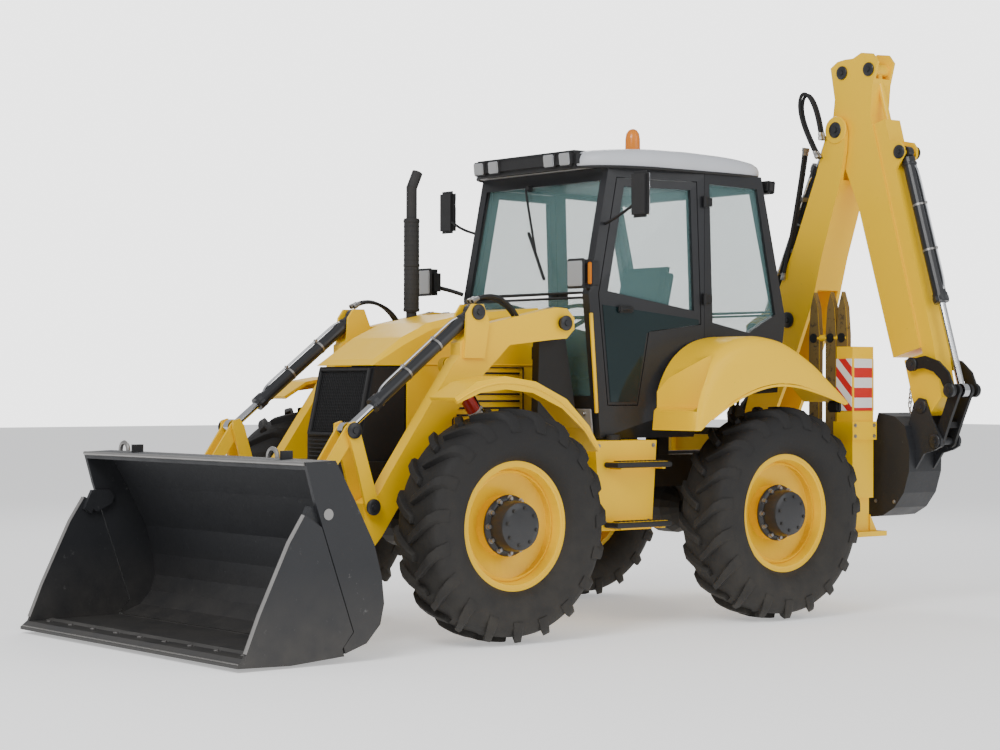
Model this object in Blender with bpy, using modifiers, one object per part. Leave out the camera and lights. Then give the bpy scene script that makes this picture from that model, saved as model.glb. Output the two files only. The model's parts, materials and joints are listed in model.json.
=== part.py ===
"""Backhoe loader with four equal steered wheels, as separate pieces on their real pivots.

Metres, +Z up. The machine faces -Y and its left side is +X. Places below are measured from the
point on the ground under the front axle, and one empty moves the whole machine so that the
origin is the middle of its footprint.
"""
import bpy
import bmesh
from math import cos, hypot, pi, radians, sin
from mathutils import Matrix, Vector

# ---- driving dimensions ----------------------------------------------------------------------
ORIGIN = (-0.1315, -0.845, 0)  # ground under the front axle, from the middle of the bounding box
WHEELBASE = 2.17
TYRE_RADIUS = 0.667
TYRE_WIDTH = 0.40
WHEEL_X = 0.95               # middle of the tyre, from the machine's centre plane
RIM_RADIUS = 0.36
WHEEL_SIDES = 36
KINGPIN_X = 0.64

BUCKET_HALF = 1.2            # loader bucket, half its width
PLATE = 0.025                # bucket plates
LIFT_PIVOT = (0.709, 1.836)  # loader arm on its tower (Y, Z)
LIFT_EYE = (0.0, 1.581)      # lift cylinder's rod on the arm
LIFT_BASE = (0.55, 0.85)     # lift cylinder on the frame
BUCKET_PIVOT = (-0.93, 0.45)
LEVER_PIVOT = (-0.705, 0.78)
LEVER_TOP = (-0.835, 1.21)
BUCKET_LINK = (-1.12, 0.82)
TILT_BASE = (0.05, 1.888)
JAW_PIVOT = (-1.364, 0.786)
ARM_X = 0.60                 # plane of the loader arms and tilt cylinders
ARM_HALF = 0.045
LIFT_X = 0.425               # plane of the lift cylinders
TOWER_X = 0.51

HOOD_HALF = 0.289
HOOD_HINGE = (-0.445, 1.575)
HOOD_SHEET = 0.012

CAB_WALL = 0.045
CAB_FRONT_HALF = 0.62
CAB_HALF = 0.72
CAB_POST_Y = 1.83            # door post
DOOR_GAP = 0.006

SWING_Y = 3.45               # plane of the folded backhoe
SWING_X = -0.56              # kingpost axis, side-shifted to the right
SHIFT_TRAVEL = 1.12
BOOM_FOOT = (-0.36, 0.85)    # (X, Z) in the plane of the folded backhoe
BOOM_TIP = (0.43, 3.2)
BOOM_RAM_BASE = (-0.60, 1.25)
BOOM_RAM_EYE = (-0.02, 1.92)
STICK_RAM_BASE = (-0.36, 1.85)
STICK_RAM_EYE = (0.45, 3.59)
REACH_RAM_EYE = (0.69, 3.59)
SCOOP_RAM_BASE = (0.946, 3.016)
GUIDE_PIVOT = (1.097, 1.605)
CRANK_PIN = (1.416, 1.435)
SCOOP_PIVOT = (1.156, 1.33)
SCOOP_LINK = (1.273, 1.103)
SCOOP_HALF = 0.16            # digging bucket, half its width
BOOM_HALF = 0.13
FORK = 0.10                  # half the gap between the boom's cheeks
DIPPER_HALF = 0.09
SLIDE_HALF = 0.075           # sliding part of the dipper

LEG_X = 0.86                 # stabiliser legs
LEG_Y = 3.04
LEG_TRAVEL = 0.46
GAP = 0.0003                 # faces that touch
SLIDE_GAP = 0.0006           # faces that slide on each other
PIN_SIDES = 16

YELLOW = (0.80, 0.55, 0.02)
CHARCOAL = (0.035, 0.036, 0.038)
BLACK = (0.012, 0.012, 0.013)
STEEL = (0.55, 0.56, 0.57)
CAB_GREY = (0.05, 0.055, 0.06)
ROOF_GREY = (0.52, 0.54, 0.56)
RUBBER = (0.014, 0.014, 0.015)


# ---- tools -----------------------------------------------------------------------------------
for old in list(bpy.data.objects):
    bpy.data.objects.remove(old, do_unlink=True)
machine = bpy.data.collections.new("backhoe_loader")
bpy.context.scene.collection.children.link(machine)
vehicle = bpy.data.objects.new("vehicle", None)
machine.objects.link(vehicle)
vehicle.location = ORIGIN
paints = {}


def paint(name, colour, rough=0.45, metal=0.0):
    if name not in paints:
        made = bpy.data.materials.new(name)
        made.use_nodes = True
        shader = made.node_tree.nodes["Principled BSDF"]
        shader.inputs["Base Color"].default_value = (*colour, 1)
        shader.inputs["Roughness"].default_value = rough
        shader.inputs["Metallic"].default_value = metal
        paints[name] = made
    return paints[name]


def linked(mesh):
    piece = bpy.data.objects.new("shape", mesh)
    machine.objects.link(piece)
    return piece


def evaluated_mesh(piece):
    bpy.context.view_layer.update()
    graph = bpy.context.evaluated_depsgraph_get()
    return bpy.data.meshes.new_from_object(piece.evaluated_get(graph), depsgraph=graph)


def outline(points, low, high, axis="X"):
    """A flat outline with thickness. Its points are (Y, Z) along X, (X, Z) along Y, (X, Y) along Z."""
    curve = bpy.data.curves.new("outline", "CURVE")
    curve.dimensions = "2D"
    curve.fill_mode = "BOTH"
    curve.extrude = (high - low) / 2
    spline = curve.splines.new("POLY")
    spline.points.add(len(points) - 1)
    for spot, (a, b) in zip(spline.points, points):
        spot.co = (a, b, 0, 1)
    spline.use_cyclic_u = True
    piece = linked(curve)
    flat = linked(evaluated_mesh(piece))
    bpy.data.objects.remove(piece)
    middle = (low + high) / 2
    turn = {
        "X": Matrix(((0, 0, 1, middle), (1, 0, 0, 0), (0, 1, 0, 0), (0, 0, 0, 1))),
        "Y": Matrix(((1, 0, 0, 0), (0, 0, -1, middle), (0, 1, 0, 0), (0, 0, 0, 1))),
        "Z": Matrix.Translation((0, 0, middle)),
    }[axis]
    flat.data.transform(turn)
    work = bmesh.new()
    work.from_mesh(flat.data)
    bmesh.ops.remove_doubles(work, verts=work.verts, dist=0.00001)
    bmesh.ops.recalc_face_normals(work, faces=work.faces)
    work.to_mesh(flat.data)
    work.free()
    return flat


def box(x, y, z):
    work = bmesh.new()
    bmesh.ops.create_cube(work, size=1)
    size = Matrix.Diagonal((x[1] - x[0], y[1] - y[0], z[1] - z[0], 1))
    place = Matrix.Translation(((x[0] + x[1]) / 2, (y[0] + y[1]) / 2, (z[0] + z[1]) / 2))
    work.transform(place @ size)
    mesh = bpy.data.meshes.new("box")
    work.to_mesh(mesh)
    work.free()
    return linked(mesh)


def bar(start, end, radius, sides=PIN_SIDES, end_radius=None):
    """A round bar between two points."""
    start, end = Vector(start), Vector(end)
    work = bmesh.new()
    tip = radius if end_radius is None else end_radius
    bmesh.ops.create_cone(work, cap_ends=True, segments=sides, radius1=radius, radius2=tip,
                          depth=(end - start).length)
    turn = (end - start).to_track_quat("Z", "Y").to_matrix().to_4x4()
    work.transform(Matrix.Translation((start + end) / 2) @ turn)
    mesh = bpy.data.meshes.new("bar")
    work.to_mesh(mesh)
    work.free()
    return linked(mesh)


def pin(x, spot, radius, axis="X"):
    """A cross pin from x[0] to x[1] at a point of a side plane."""
    if axis == "X":
        return bar((x[0], *spot), (x[1], *spot), radius)
    return bar((spot[0], x[0], spot[1]), (spot[0], x[1], spot[1]), radius)


def bore_radius(radius, sides=PIN_SIDES):
    """A bore whose flats clear the corners of its pin."""
    return radius / cos(pi / sides) + 0.0005


def hole(x, spot, radius, axis="X"):
    return pin(x, spot, bore_radius(radius), axis)


def turned(profile, centre, sides):
    """A ring or disc about an axle along X, from its (X, radius) profile, outer side first."""
    mesh = bpy.data.meshes.new("profile")
    rim = [(x, 0, r) for x, r in profile]
    mesh.from_pydata(rim, [(i, (i + 1) % len(rim)) for i in range(len(rim))], [])
    piece = linked(mesh)
    screw = piece.modifiers.new("turn", "SCREW")
    screw.axis = "X"
    screw.steps = sides
    screw.render_steps = sides
    screw.use_merge_vertices = True
    screw.merge_threshold = 0.00001
    ring = linked(evaluated_mesh(piece))
    bpy.data.objects.remove(piece)
    work = bmesh.new()
    work.from_mesh(ring.data)
    bmesh.ops.recalc_face_normals(work, faces=work.faces)
    work.to_mesh(ring.data)
    work.free()
    ring.data.transform(Matrix.Translation(centre))
    return ring


def hull(points):
    work = bmesh.new()
    for point in points:
        work.verts.new(point)
    bmesh.ops.convex_hull(work, input=work.verts)
    bmesh.ops.recalc_face_normals(work, faces=work.faces)
    mesh = bpy.data.meshes.new("hull")
    work.to_mesh(mesh)
    work.free()
    return linked(mesh)


def combine(adds, cuts=(), meet=None):
    """One mesh: the first shape joined with the others, then cut, then kept where it meets one."""
    base = adds[0]
    steps = [("UNION", other) for other in adds[1:]]
    steps += [("DIFFERENCE", other) for other in cuts]
    steps += [("INTERSECT", meet)] if meet else []
    for number, (kind, other) in enumerate(steps):
        other.hide_render = True
        other.display_type = "WIRE"
        step = base.modifiers.new(f"{kind}_{number}", "BOOLEAN")
        step.operation = kind
        step.object = other
    mesh = evaluated_mesh(base)
    for used in {base, *(other for _, other in steps)}:
        bpy.data.objects.remove(used)
    return linked(mesh)


def piece(name, adds, cuts=(), at=(0, 0, 0), look=("yellow", YELLOW), meet=None):
    """A finished, named piece, with its origin on its joint."""
    made = combine(list(adds), list(cuts), meet)
    made.name = name
    made.data.name = name
    made.data.transform(Matrix.Translation(-Vector(at)))
    made.location = at
    made.parent = vehicle
    made.data.materials.clear()
    made.data.materials.append(paint(*look))
    made.data.shade_smooth()
    made.data.set_sharp_from_angle(angle=radians(35))
    return made


def mirrored_if(side, points):
    """Points of a plan view, as given on the left and mirrored on the right."""
    return points if side > 0 else [(-x, y) for x, y in points[::-1]]


def both_sides(side, low, high):
    """The X span of a piece on the left (1) or right (-1)."""
    return tuple(sorted((side * low, side * high)))


def tapered(spine, widths):
    """The outline of a beam that follows its middle line, with a width at each point."""
    near, far = [], []
    for i, (a, b) in enumerate(spine):
        before = spine[max(i - 1, 0)]
        after = spine[min(i + 1, len(spine) - 1)]
        length = hypot(after[0] - before[0], after[1] - before[1])
        side = (-(after[1] - before[1]) / length, (after[0] - before[0]) / length)
        half = widths[i] / 2
        near.append((a + side[0] * half, b + side[1] * half))
        far.append((a - side[0] * half, b - side[1] * half))
    return near + far[::-1]


SIDES = ((1, "left"), (-1, "right"))
AXLES = ((0.0, "front"), (WHEELBASE, "rear"))
black = ("black", BLACK)
charcoal = ("charcoal", CHARCOAL)
steel = ("steel", STEEL, 0.25, 1.0)
cab_grey = ("cab_grey", CAB_GREY)


# ---- wheels, knuckles and axles --------------------------------------------------------------
def make_wheel(side, axle_y, name):
    inner, outer = WHEEL_X - TYRE_WIDTH / 2, WHEEL_X + TYRE_WIDTH / 2
    tread_in, tread_out = inner + 0.035, outer - 0.035
    tyre_profile = [(tread_in, TYRE_RADIUS), (tread_out, TYRE_RADIUS), (outer, TYRE_RADIUS - 0.07),
                    (outer, RIM_RADIUS + 0.10), (outer - 0.09, RIM_RADIUS + 0.0008),
                    (inner + 0.09, RIM_RADIUS + 0.0008), (inner, RIM_RADIUS + 0.10),
                    (inner, TYRE_RADIUS - 0.07)]
    flange_x = outer - 0.085
    rim_profile = [(inner + 0.10, RIM_RADIUS), (flange_x, RIM_RADIUS), (flange_x, RIM_RADIUS - 0.025),
                   (flange_x - 0.10, RIM_RADIUS - 0.05), (flange_x - 0.14, 0.17), (flange_x - 0.10, 0.15),
                   (flange_x + 0.02, 0.125), (flange_x + 0.04, 0.115), (flange_x + 0.055, 0.09),
                   (flange_x + 0.055, 0.0), (0.905, 0.0), (0.905, SPINDLE_BORE), (0.79, SPINDLE_BORE),
                   (0.79, 0.13), (flange_x - 0.17, 0.19), (flange_x - 0.13, RIM_RADIUS - 0.03),
                   (inner + 0.10, RIM_RADIUS - 0.03)]
    centre = (0, axle_y, TYRE_RADIUS)
    flip = (lambda shape: [(side * x, r) for x, r in shape])
    piece(f"{name}_tyre", [turned(flip(tyre_profile), centre, WHEEL_SIDES)], at=centre, look=("rubber", RUBBER, 0.85))
    piece(f"{name}_rim", [turned(flip(rim_profile), centre, WHEEL_SIDES)], at=centre)


def make_knuckle(side, axle_y, name):
    height = TYRE_RADIUS
    post = bar((side * KINGPIN_X, axle_y, height - 0.13), (side * KINGPIN_X, axle_y, height + 0.13), 0.065)
    spindle = bar((side * KINGPIN_X, axle_y, height), (side * 0.90, axle_y, height), SPINDLE, 32)
    flange = bar((side * KINGPIN_X, axle_y, height), (side * 0.785, axle_y, height), 0.10, 24)
    arm = box(both_sides(side, 0.57, 0.64), (axle_y + 0.02, axle_y + 0.20), (height - 0.06, height - 0.02))
    piece(f"{name}_knuckle", [post, spindle, flange, arm], at=(side * KINGPIN_X, axle_y, 0), look=black)


def make_axle(axle_y, name):
    height = TYRE_RADIUS
    beam = bar((-0.53, axle_y, height), (0.53, axle_y, height), 0.075)
    bowl = turned([(-0.17, 0.09), (0.17, 0.09), (0.13, 0.14), (0.07, 0.17), (-0.07, 0.17), (-0.13, 0.14)][::-1],
                  (0.03, axle_y, height), 20)
    adds = [beam, bowl]
    for side, _ in SIDES:
        x = both_sides(side, 0.47, KINGPIN_X + 0.055)
        adds.append(box(both_sides(side, 0.46, 0.525), (axle_y - 0.06, axle_y + 0.06), (height - 0.17, height + 0.17)))
        for low in (height - 0.17, height + 0.13 + SLIDE_GAP):
            adds.append(box(x, (axle_y - 0.06, axle_y + 0.06), (low, low + 0.04 - SLIDE_GAP)))
    adds.append(box((-0.30, 0.30), (axle_y - 0.07, axle_y + 0.07), (height + 0.05, RAIL_LOW - GAP)))
    piece(f"{name}_axle", adds, look=black)


SPINDLE = 0.055
SPINDLE_BORE = bore_radius(SPINDLE, 32)
RAIL_LOW = 0.82
RAIL_TOP = 1.02
for axle_y, axle_name in AXLES:
    make_axle(axle_y, axle_name)
    for side, side_name in SIDES:
        make_knuckle(side, axle_y, f"{axle_name}_{side_name}")
        make_wheel(side, axle_y, f"{axle_name}_{side_name}")


# ---- main frame, loader towers, radiator housing ---------------------------------------------
def make_frame():
    housing = outline([(-0.505, RAIL_LOW), (-0.505, 1.17), (-0.415, 1.572), (-0.20, 1.572), (-0.20, RAIL_LOW)],
                      -HOOD_HALF + 0.006, HOOD_HALF - 0.006)
    adds = [box((-0.36, 0.36), (-0.56, -0.47), (0.70, 1.00)), housing]
    for side, _ in SIDES:
        x = both_sides(side, 0.24, 0.36)
        adds.append(box(x, (-0.52, 2.94), (RAIL_LOW, RAIL_TOP)))
        tower = [(0.62, 0.90), (0.90, 0.90), (0.90, 1.30), (0.80, 1.84), (0.775, 1.90), (0.709, 1.93),
                 (0.645, 1.90), (0.615, 1.84), (0.60, 1.30)]
        adds.append(outline(tower, *both_sides(side, TOWER_X - 0.03, TOWER_X + 0.03)))
        adds.append(box(both_sides(side, 0.30, TOWER_X + 0.02), (0.64, 0.88), (0.91, 1.01)))
        adds.append(pin(both_sides(side, TOWER_X, ARM_X + 0.07), LIFT_PIVOT, 0.035))
        adds.append(pin(both_sides(side, 0.30, LIFT_X + 0.035), LIFT_BASE, 0.025))
        for y in (1.60, 2.60):
            adds.append(box(both_sides(side, -0.02, 0.30), (y, y + 0.10), (0.86, 0.98)))
    adds.append(box((-0.30, 0.30), (0.40, 0.50), (0.86, 0.98)))
    piece("main_frame", adds, look=black)


def make_engine():
    """The engine, with the exhaust that leaves it under the hood's lower edge."""
    x, y = -0.343, 0.31
    piece("engine", [
        box((-0.22, 0.22), (-0.10, 0.65), (RAIL_TOP + GAP, 1.50)),
        box((x - 0.045, -0.10), (y - 0.05, y + 0.05), (RAIL_TOP + GAP, RAIL_TOP + 0.025)),
        bar((x, y, RAIL_TOP + 0.01), (x, y, 1.94), 0.034),
        bar((x, y, 1.92), (x, y, 2.50), 0.048, 20),
        bar((x, y, 2.48), (x, y, 2.70), 0.034),
        bar((x, y, 2.69), (x, y + 0.045, 2.79), 0.034),
    ], look=("cast", (0.06, 0.06, 0.062)))


def make_hood():
    top = [(-0.435, 1.583), (-0.40, 1.615), (-0.20, 1.745), (0.0, 1.835), (0.30, 1.895), (0.84, 1.94)]

    def shell(profile, low, half, drop):
        rows = [(x, y, z) for y, z in profile for x in (-half + drop, half - drop)]
        rows += [(x, y, max(z - drop, low)) for y, z in profile for x in (-half, half)]
        rows += [(x, y, low) for y in (profile[0][0], profile[-1][0]) for x in (-half, half)]
        return hull(rows)
    body = shell([(-0.185, 1.752), *top[3:]], 1.06, HOOD_HALF, 0.04)
    nose = shell([*top[:3], (-0.10, 1.79)], 1.578, HOOD_HALF, 0.04)
    half = HOOD_HALF - HOOD_SHEET
    inner_body = shell([(-0.17, 1.741), (0.0, 1.820), (0.30, 1.880), (0.825, 1.924)], 0.95, half, 0.04)
    inner_nose = shell([(-0.39, 1.604), (-0.195, 1.731), (-0.10, 1.773)], 1.50, half, 0.04)
    open_front = box((-half, half), (-0.26, -0.10), (0.95, 1.65))
    piece("hood", [combine([body, nose])], [inner_body, inner_nose, open_front], at=(0, *HOOD_HINGE))


make_frame()
make_engine()
make_hood()


# ---- fenders and side tanks ------------------------------------------------------------------
def band(points, thick):
    """A sheet that follows a line of (Y, Z) points, thick to its inner side."""
    return tapered(points, [thick] * len(points))


def make_fenders(side, name):
    front_line = [(-0.36, 1.385), (-0.20, 1.475), (0.0, 1.505), (0.22, 1.475), (0.45, 1.375), (0.62, 1.22), (0.71, 1.08)]
    sheet = outline(band(front_line, 0.02), *both_sides(side, 0.745, 0.98))
    stay = box(both_sides(side, TOWER_X + 0.03 + GAP, 0.78), (0.665, 0.70), (1.12, 1.16))
    skirt = [(-0.36, 1.385), (-0.20, 1.475), (0.0, 1.505), (0.22, 1.475), (0.45, 1.375), (0.62, 1.22), (0.71, 1.08),
             (0.69, 1.08), (0.59, 1.20), (0.42, 1.33), (0.20, 1.42), (0.0, 1.44), (-0.18, 1.42), (-0.345, 1.36)]
    lip = outline(skirt, *both_sides(side, 0.965, 0.98))
    piece(f"front_{name}_fender", [sheet, stay, lip])

    rear_line = [(1.36, 1.19), (1.40, 1.42), (1.50, 1.60), (1.68, 1.73), (1.92, 1.775), (2.16, 1.735),
                 (2.40, 1.61), (2.60, 1.45), (2.70, 1.36)]
    arch_edge = [(2.68, 1.345), (2.40, 1.43), (2.16, 1.475), (1.92, 1.455), (1.68, 1.37), (1.50, 1.26), (1.375, 1.19)]
    sheet = outline(band(rear_line, 0.025), *both_sides(side, CAB_HALF + 0.004, 1.12))
    side_plate = outline(rear_line + arch_edge, *both_sides(side, 1.10, 1.12))
    corner = mirrored_if(side, [(0.60, 1.0), (1.30, 1.0), (1.30, 1.50), (1.05, 1.535), (0.90, 1.44), (0.80, 1.41), (0.60, 1.37)])
    clear = outline(corner, 1.335, 2.0, "Z")
    piece(f"rear_{name}_fender", [sheet, side_plate], [clear])


def make_tanks():
    """Fuel and oil tanks with their steps, hung on one beam under the rails."""
    body = [(0.83, 1.13), (1.33, 1.13), (1.29, 0.59), (0.88, 0.59)]
    adds = [box((-0.40, 0.40), (0.95, 1.22), (0.62, 0.74))]
    for side, _ in SIDES:
        adds.append(outline(body, *both_sides(side, 0.37, 0.80)))
        for height in (0.62, 0.98):
            for y in (0.95, 1.28):
                adds.append(box(both_sides(side, 0.78, 0.90), (y, y + 0.03), (height - 0.02, height)))
            adds.append(box(both_sides(side, 0.84, 0.90), (0.93, 1.33), (height - 0.001, height + 0.025)))
    room = [box(both_sides(side, 0.30, TOWER_X + 0.04), (0.5, 0.915), (0.75, 1.3)) for side, _ in SIDES]
    piece("side_tanks", adds, room)


for side, side_name in SIDES:
    make_fenders(side, side_name)
make_tanks()


# ---- cab -------------------------------------------------------------------------------------
CAB_FLOOR = RAIL_TOP + 0.12
FRONT_LOW, FRONT_WAIST, FRONT_TOP = (1.03, CAB_FLOOR), (0.935, 2.02), (1.095, 2.80)


def cab_hull(inset):
    front, wide, post = CAB_FRONT_HALF - inset, CAB_HALF - inset, CAB_POST_Y
    corners = []
    for (y, z), shift in ((FRONT_LOW, inset), (FRONT_WAIST, 0), (FRONT_TOP, -inset)):
        for x in (-front, front):
            corners.append((x, y + inset, z + shift))
    for z, half in ((CAB_FLOOR + inset, 0.60 - inset), (1.37, wide), (2.80 - inset, wide)):
        corners += [(x, post, z) for x in (-half, half)]
    top = 2.80 - inset
    rear = [(post - 0.02, top), (post - 0.02, 1.39 + inset), (2.46 - inset, 1.42 + inset), (2.53 - inset, 1.90),
            (2.31 - inset, top)]
    return combine([hull(corners), outline(rear, -wide, wide)])


def grown(points, by):
    """An outline moved outwards by a distance, for outlines that run counter-clockwise."""
    out = []
    for i, (a, b) in enumerate(points):
        (pa, pb), (na, nb) = points[i - 1], points[(i + 1) % len(points)]
        in_len, out_len = hypot(a - pa, b - pb), hypot(na - a, nb - b)
        n1 = ((b - pb) / in_len, -(a - pa) / in_len)
        n2 = ((nb - b) / out_len, -(na - a) / out_len)
        scale = by / (1 + n1[0] * n2[0] + n1[1] * n2[1])
        out.append((a + (n1[0] + n2[0]) * scale, b + (n1[1] + n2[1]) * scale))
    return out


DOOR = [(1.085, 1.345), (1.30, 1.345), (1.38, 1.80), (CAB_POST_Y - 0.05, 1.85), (CAB_POST_Y - 0.085, 2.735),
        (1.155, 2.735), (1.01, 2.02)]
DOOR_PANES = ([(1.075, 2.04), (CAB_POST_Y - 0.10, 1.93), (CAB_POST_Y - 0.13, 2.685), (1.205, 2.685)],
              [(1.135, 1.40), (1.26, 1.40), (1.325, 1.84), (1.055, 1.91), (1.075, 1.95)][:4])
QUARTER = [(CAB_POST_Y + 0.05, 1.86), (2.20, 1.80), (2.44, 1.92), (2.27, 2.72), (CAB_POST_Y + 0.02, 2.73)]
DOOR_HINGE = (CAB_HALF + 0.014, CAB_POST_Y - 0.03)


def make_cab():
    cuts = [cab_hull(CAB_WALL)]
    for side, _ in SIDES:
        x = both_sides(side, 0.4, 0.9)
        cuts.append(outline(grown(DOOR, DOOR_GAP), *x))
        cuts.append(outline(QUARTER, *x))
    cuts.append(box((-CAB_FRONT_HALF + 0.06, CAB_FRONT_HALF - 0.06), (0.7, 1.3), (1.40, 2.72)))
    cuts.append(box((-CAB_HALF + 0.08, CAB_HALF - 0.08), (2.2, 2.7), (1.62, 2.70)))
    pads = []
    for side, _ in SIDES:
        x = both_sides(side, 0.24, 0.36)
        for y in (1.10, 1.75):
            pads.append(box(x, (y, y + 0.09), (RAIL_TOP + GAP, CAB_FLOOR + 0.01)))
    piece("cab_frame", [cab_hull(0)] + pads, cuts, look=cab_grey)


def make_door(side, name):
    x = both_sides(side, 0.4, 0.9)
    panes = [outline(pane, *x) for pane in DOOR_PANES]
    shell = combine([cab_hull(0)], [cab_hull(CAB_WALL)])
    slab = combine([shell], panes, meet=outline(DOOR, *x))
    piece(f"{name}_door", [slab], at=(side * DOOR_HINGE[0], DOOR_HINGE[1], 0), look=cab_grey)


def make_roof():
    y0, y1, z = 0.80, 2.43, 2.80 + GAP
    shape = []
    for y, half, low in ((y0, 0.60, z + 0.015), (1.2, 0.70, z), (y1 - 0.10, 0.74, z), (y1, 0.70, z + 0.02)):
        shape += [(x, y, low) for x in (-half, half)]
    for y, half, top in ((y0 + 0.06, 0.54, z + 0.085), (1.3, 0.64, z + 0.125), (y1 - 0.14, 0.66, z + 0.12)):
        shape += [(x, y, top) for x in (-half, half)]
    shape += [(0, y0 + 0.25, z + 0.125), (0, y1 - 0.3, z + 0.14)]
    piece("cab_roof", [hull(shape), box((-0.70, 0.70), (0.95, 2.38), (z, z + 0.05))], look=("roof", ROOF_GREY))


def make_station():
    floor = CAB_FLOOR + CAB_WALL + GAP
    seat = [box((-0.18, 0.18), (1.48, 1.78), (floor, 1.52)), box((-0.25, 0.25), (1.42, 1.92), (1.50, 1.64)),
            outline([(1.83, 1.60), (1.94, 1.60), (2.04, 2.22), (1.96, 2.25)], -0.23, 0.23)]
    column = [outline([(1.10, floor), (1.28, floor), (1.22, 1.72), (1.14, 1.72)], -0.13, 0.13),
              bar((0, 1.17, 1.66), (0, 1.30, 1.90), 0.035)]
    ring = bar((0, 1.285, 1.875), (0, 1.305, 1.91), 0.19, 20)
    mat = box((-0.12, 0.12), (1.15, 1.75), (floor, floor + 0.02))
    piece("operator_station", seat + column + [ring, mat], look=black)


make_cab()
make_roof()
make_station()
for side, side_name in SIDES:
    make_door(side, side_name)


# ---- loader ----------------------------------------------------------------------------------
def ram(name, base, eye, plane, closed_gland, barrel_radius, rod_radius, rod_start, bore_start, axis="X", width=0.05,
        pin_radius=0.025, eye_pin=0.025):
    """A cylinder: a barrel with an eye on its base pin, and a rod that slides out of its gland."""
    def place(a, b):
        return (plane, a, b) if axis == "X" else (a, plane, b)
    length = hypot(eye[0] - base[0], eye[1] - base[1])
    way = ((eye[0] - base[0]) / length, (eye[1] - base[1]) / length)

    def along(distance):
        return place(base[0] + way[0] * distance, base[1] + way[1] * distance)
    span = (plane - width / 2, plane + width / 2)
    wide = (plane - width, plane + width)
    barrel = [bar(along(0.04), along(closed_gland), barrel_radius),
              bar(along(closed_gland - 0.06), along(closed_gland), barrel_radius + 0.006),
              pin(span, base, pin_radius + 0.022, axis)]
    cut = [bar(along(bore_start), along(closed_gland + 0.02), bore_radius(rod_radius)),
           hole(wide, base, pin_radius, axis)]
    piece(f"{name}_barrel", barrel, cut, at=place(*base), look=charcoal)
    rod = [bar(along(rod_start), along(length - 0.03), rod_radius), pin(span, eye, eye_pin + 0.022, axis)]
    piece(f"{name}_rod", rod, [hole(wide, eye, eye_pin, axis)], at=place(*eye), look=steel)


def make_arms():
    rear = [(0.80, 1.80), (0.80, 1.87), (0.74, 1.925), (0.654, 1.93), (0.14, 1.825), (0.05, 1.80),
            (-0.07, 1.71), (-0.07, 1.46), (0.06, 1.46), (0.10, 1.52), (0.30, 1.70), (0.62, 1.735), (0.74, 1.745)]
    front = tapered([(0.05, 1.64), (-0.04, 1.53), (-0.50, 0.92), (-0.68, 0.66), (-0.80, 0.53), BUCKET_PIVOT],
                    [0.18, 0.19, 0.16, 0.15, 0.15, 0.13])
    adds, cuts = [], []
    for side, _ in SIDES:
        x = both_sides(side, ARM_X - ARM_HALF, ARM_X + ARM_HALF)
        adds += [outline(rear, *x), outline(front, *x), pin(x, BUCKET_PIVOT, 0.065),
                 outline([(-0.60, 0.86), (-0.66, 0.68), (-0.74, 0.71), (-0.755, 0.80), (-0.70, 0.83)], *x),
                 pin(both_sides(side, LIFT_X + 0.032, ARM_X), LIFT_EYE, 0.045),
                 pin(both_sides(side, ARM_X - 0.06, ARM_X + 0.06), TILT_BASE, 0.025)]
        cheek = [(0.10, 1.62), (0.135, 1.83), (0.09, 1.935), (0.01, 1.935), (-0.03, 1.88), (-0.05, 1.62)]
        adds += [outline(cheek, *both_sides(side, ARM_X - 0.062, ARM_X - 0.044)),
                 outline(cheek, *both_sides(side, ARM_X + 0.044, ARM_X + 0.062))]
        cuts += [hole(both_sides(side, ARM_X - 0.1, ARM_X + 0.1), LIFT_PIVOT, 0.035),
                 hole(both_sides(side, ARM_X - 0.1, ARM_X + 0.1), BUCKET_PIVOT, 0.03),
                 hole(both_sides(side, ARM_X - 0.1, ARM_X + 0.1), LEVER_PIVOT, 0.025)]
    adds.append(bar((-ARM_X, -0.655, 0.66), (ARM_X, -0.655, 0.66), 0.06))
    piece("loader_arms", adds, cuts, at=(0, *LIFT_PIVOT))


def make_lever(side, name):
    inner = both_sides(side, ARM_X - 0.075, ARM_X - 0.057)
    outer = both_sides(side, ARM_X + 0.057, ARM_X + 0.075)
    shape = tapered([(-0.705, 0.735), LEVER_PIVOT, ((-0.705 - 0.835) / 2, 1.0), LEVER_TOP, (-0.848, 1.255)],
                    [0.05, 0.09, 0.08, 0.08, 0.045])
    adds = [outline(shape, *inner), outline(shape, *outer), pin(both_sides(side, ARM_X - 0.075, ARM_X + 0.075), LEVER_PIVOT, 0.025)]
    piece(f"{name}_lever", adds, at=(side * ARM_X, *LEVER_PIVOT))
    link = tapered([(-0.812, 1.243), LEVER_TOP, (-0.98, 1.01), BUCKET_LINK, (-1.143, 0.787)],
                   [0.04, 0.08, 0.07, 0.08, 0.04])
    adds = [outline(link, *both_sides(side, ARM_X - 0.0515, ARM_X - 0.0345)),
            outline(link, *both_sides(side, ARM_X + 0.0345, ARM_X + 0.0515)),
            box(both_sides(side, ARM_X - 0.05, ARM_X + 0.05), (-1.09, -1.05), (0.87, 0.91))]
    wide = both_sides(side, ARM_X - 0.1, ARM_X + 0.1)
    piece(f"{name}_link", adds, [hole(wide, BUCKET_LINK, 0.025)], at=(side * ARM_X, *BUCKET_LINK))


SPLIT = [(-1.452, 0.868), (-1.20, 0.16), (-1.265, 0.085)]
BACK = [(-1.508, 1.061), (-1.319, 1.067), (-1.198, 0.859), (-1.069, 0.616), (-1.02, 0.44), (-1.005, 0.30),
        (-1.03, 0.19), (-1.12, 0.095), (-1.255, 0.05)]


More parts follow.
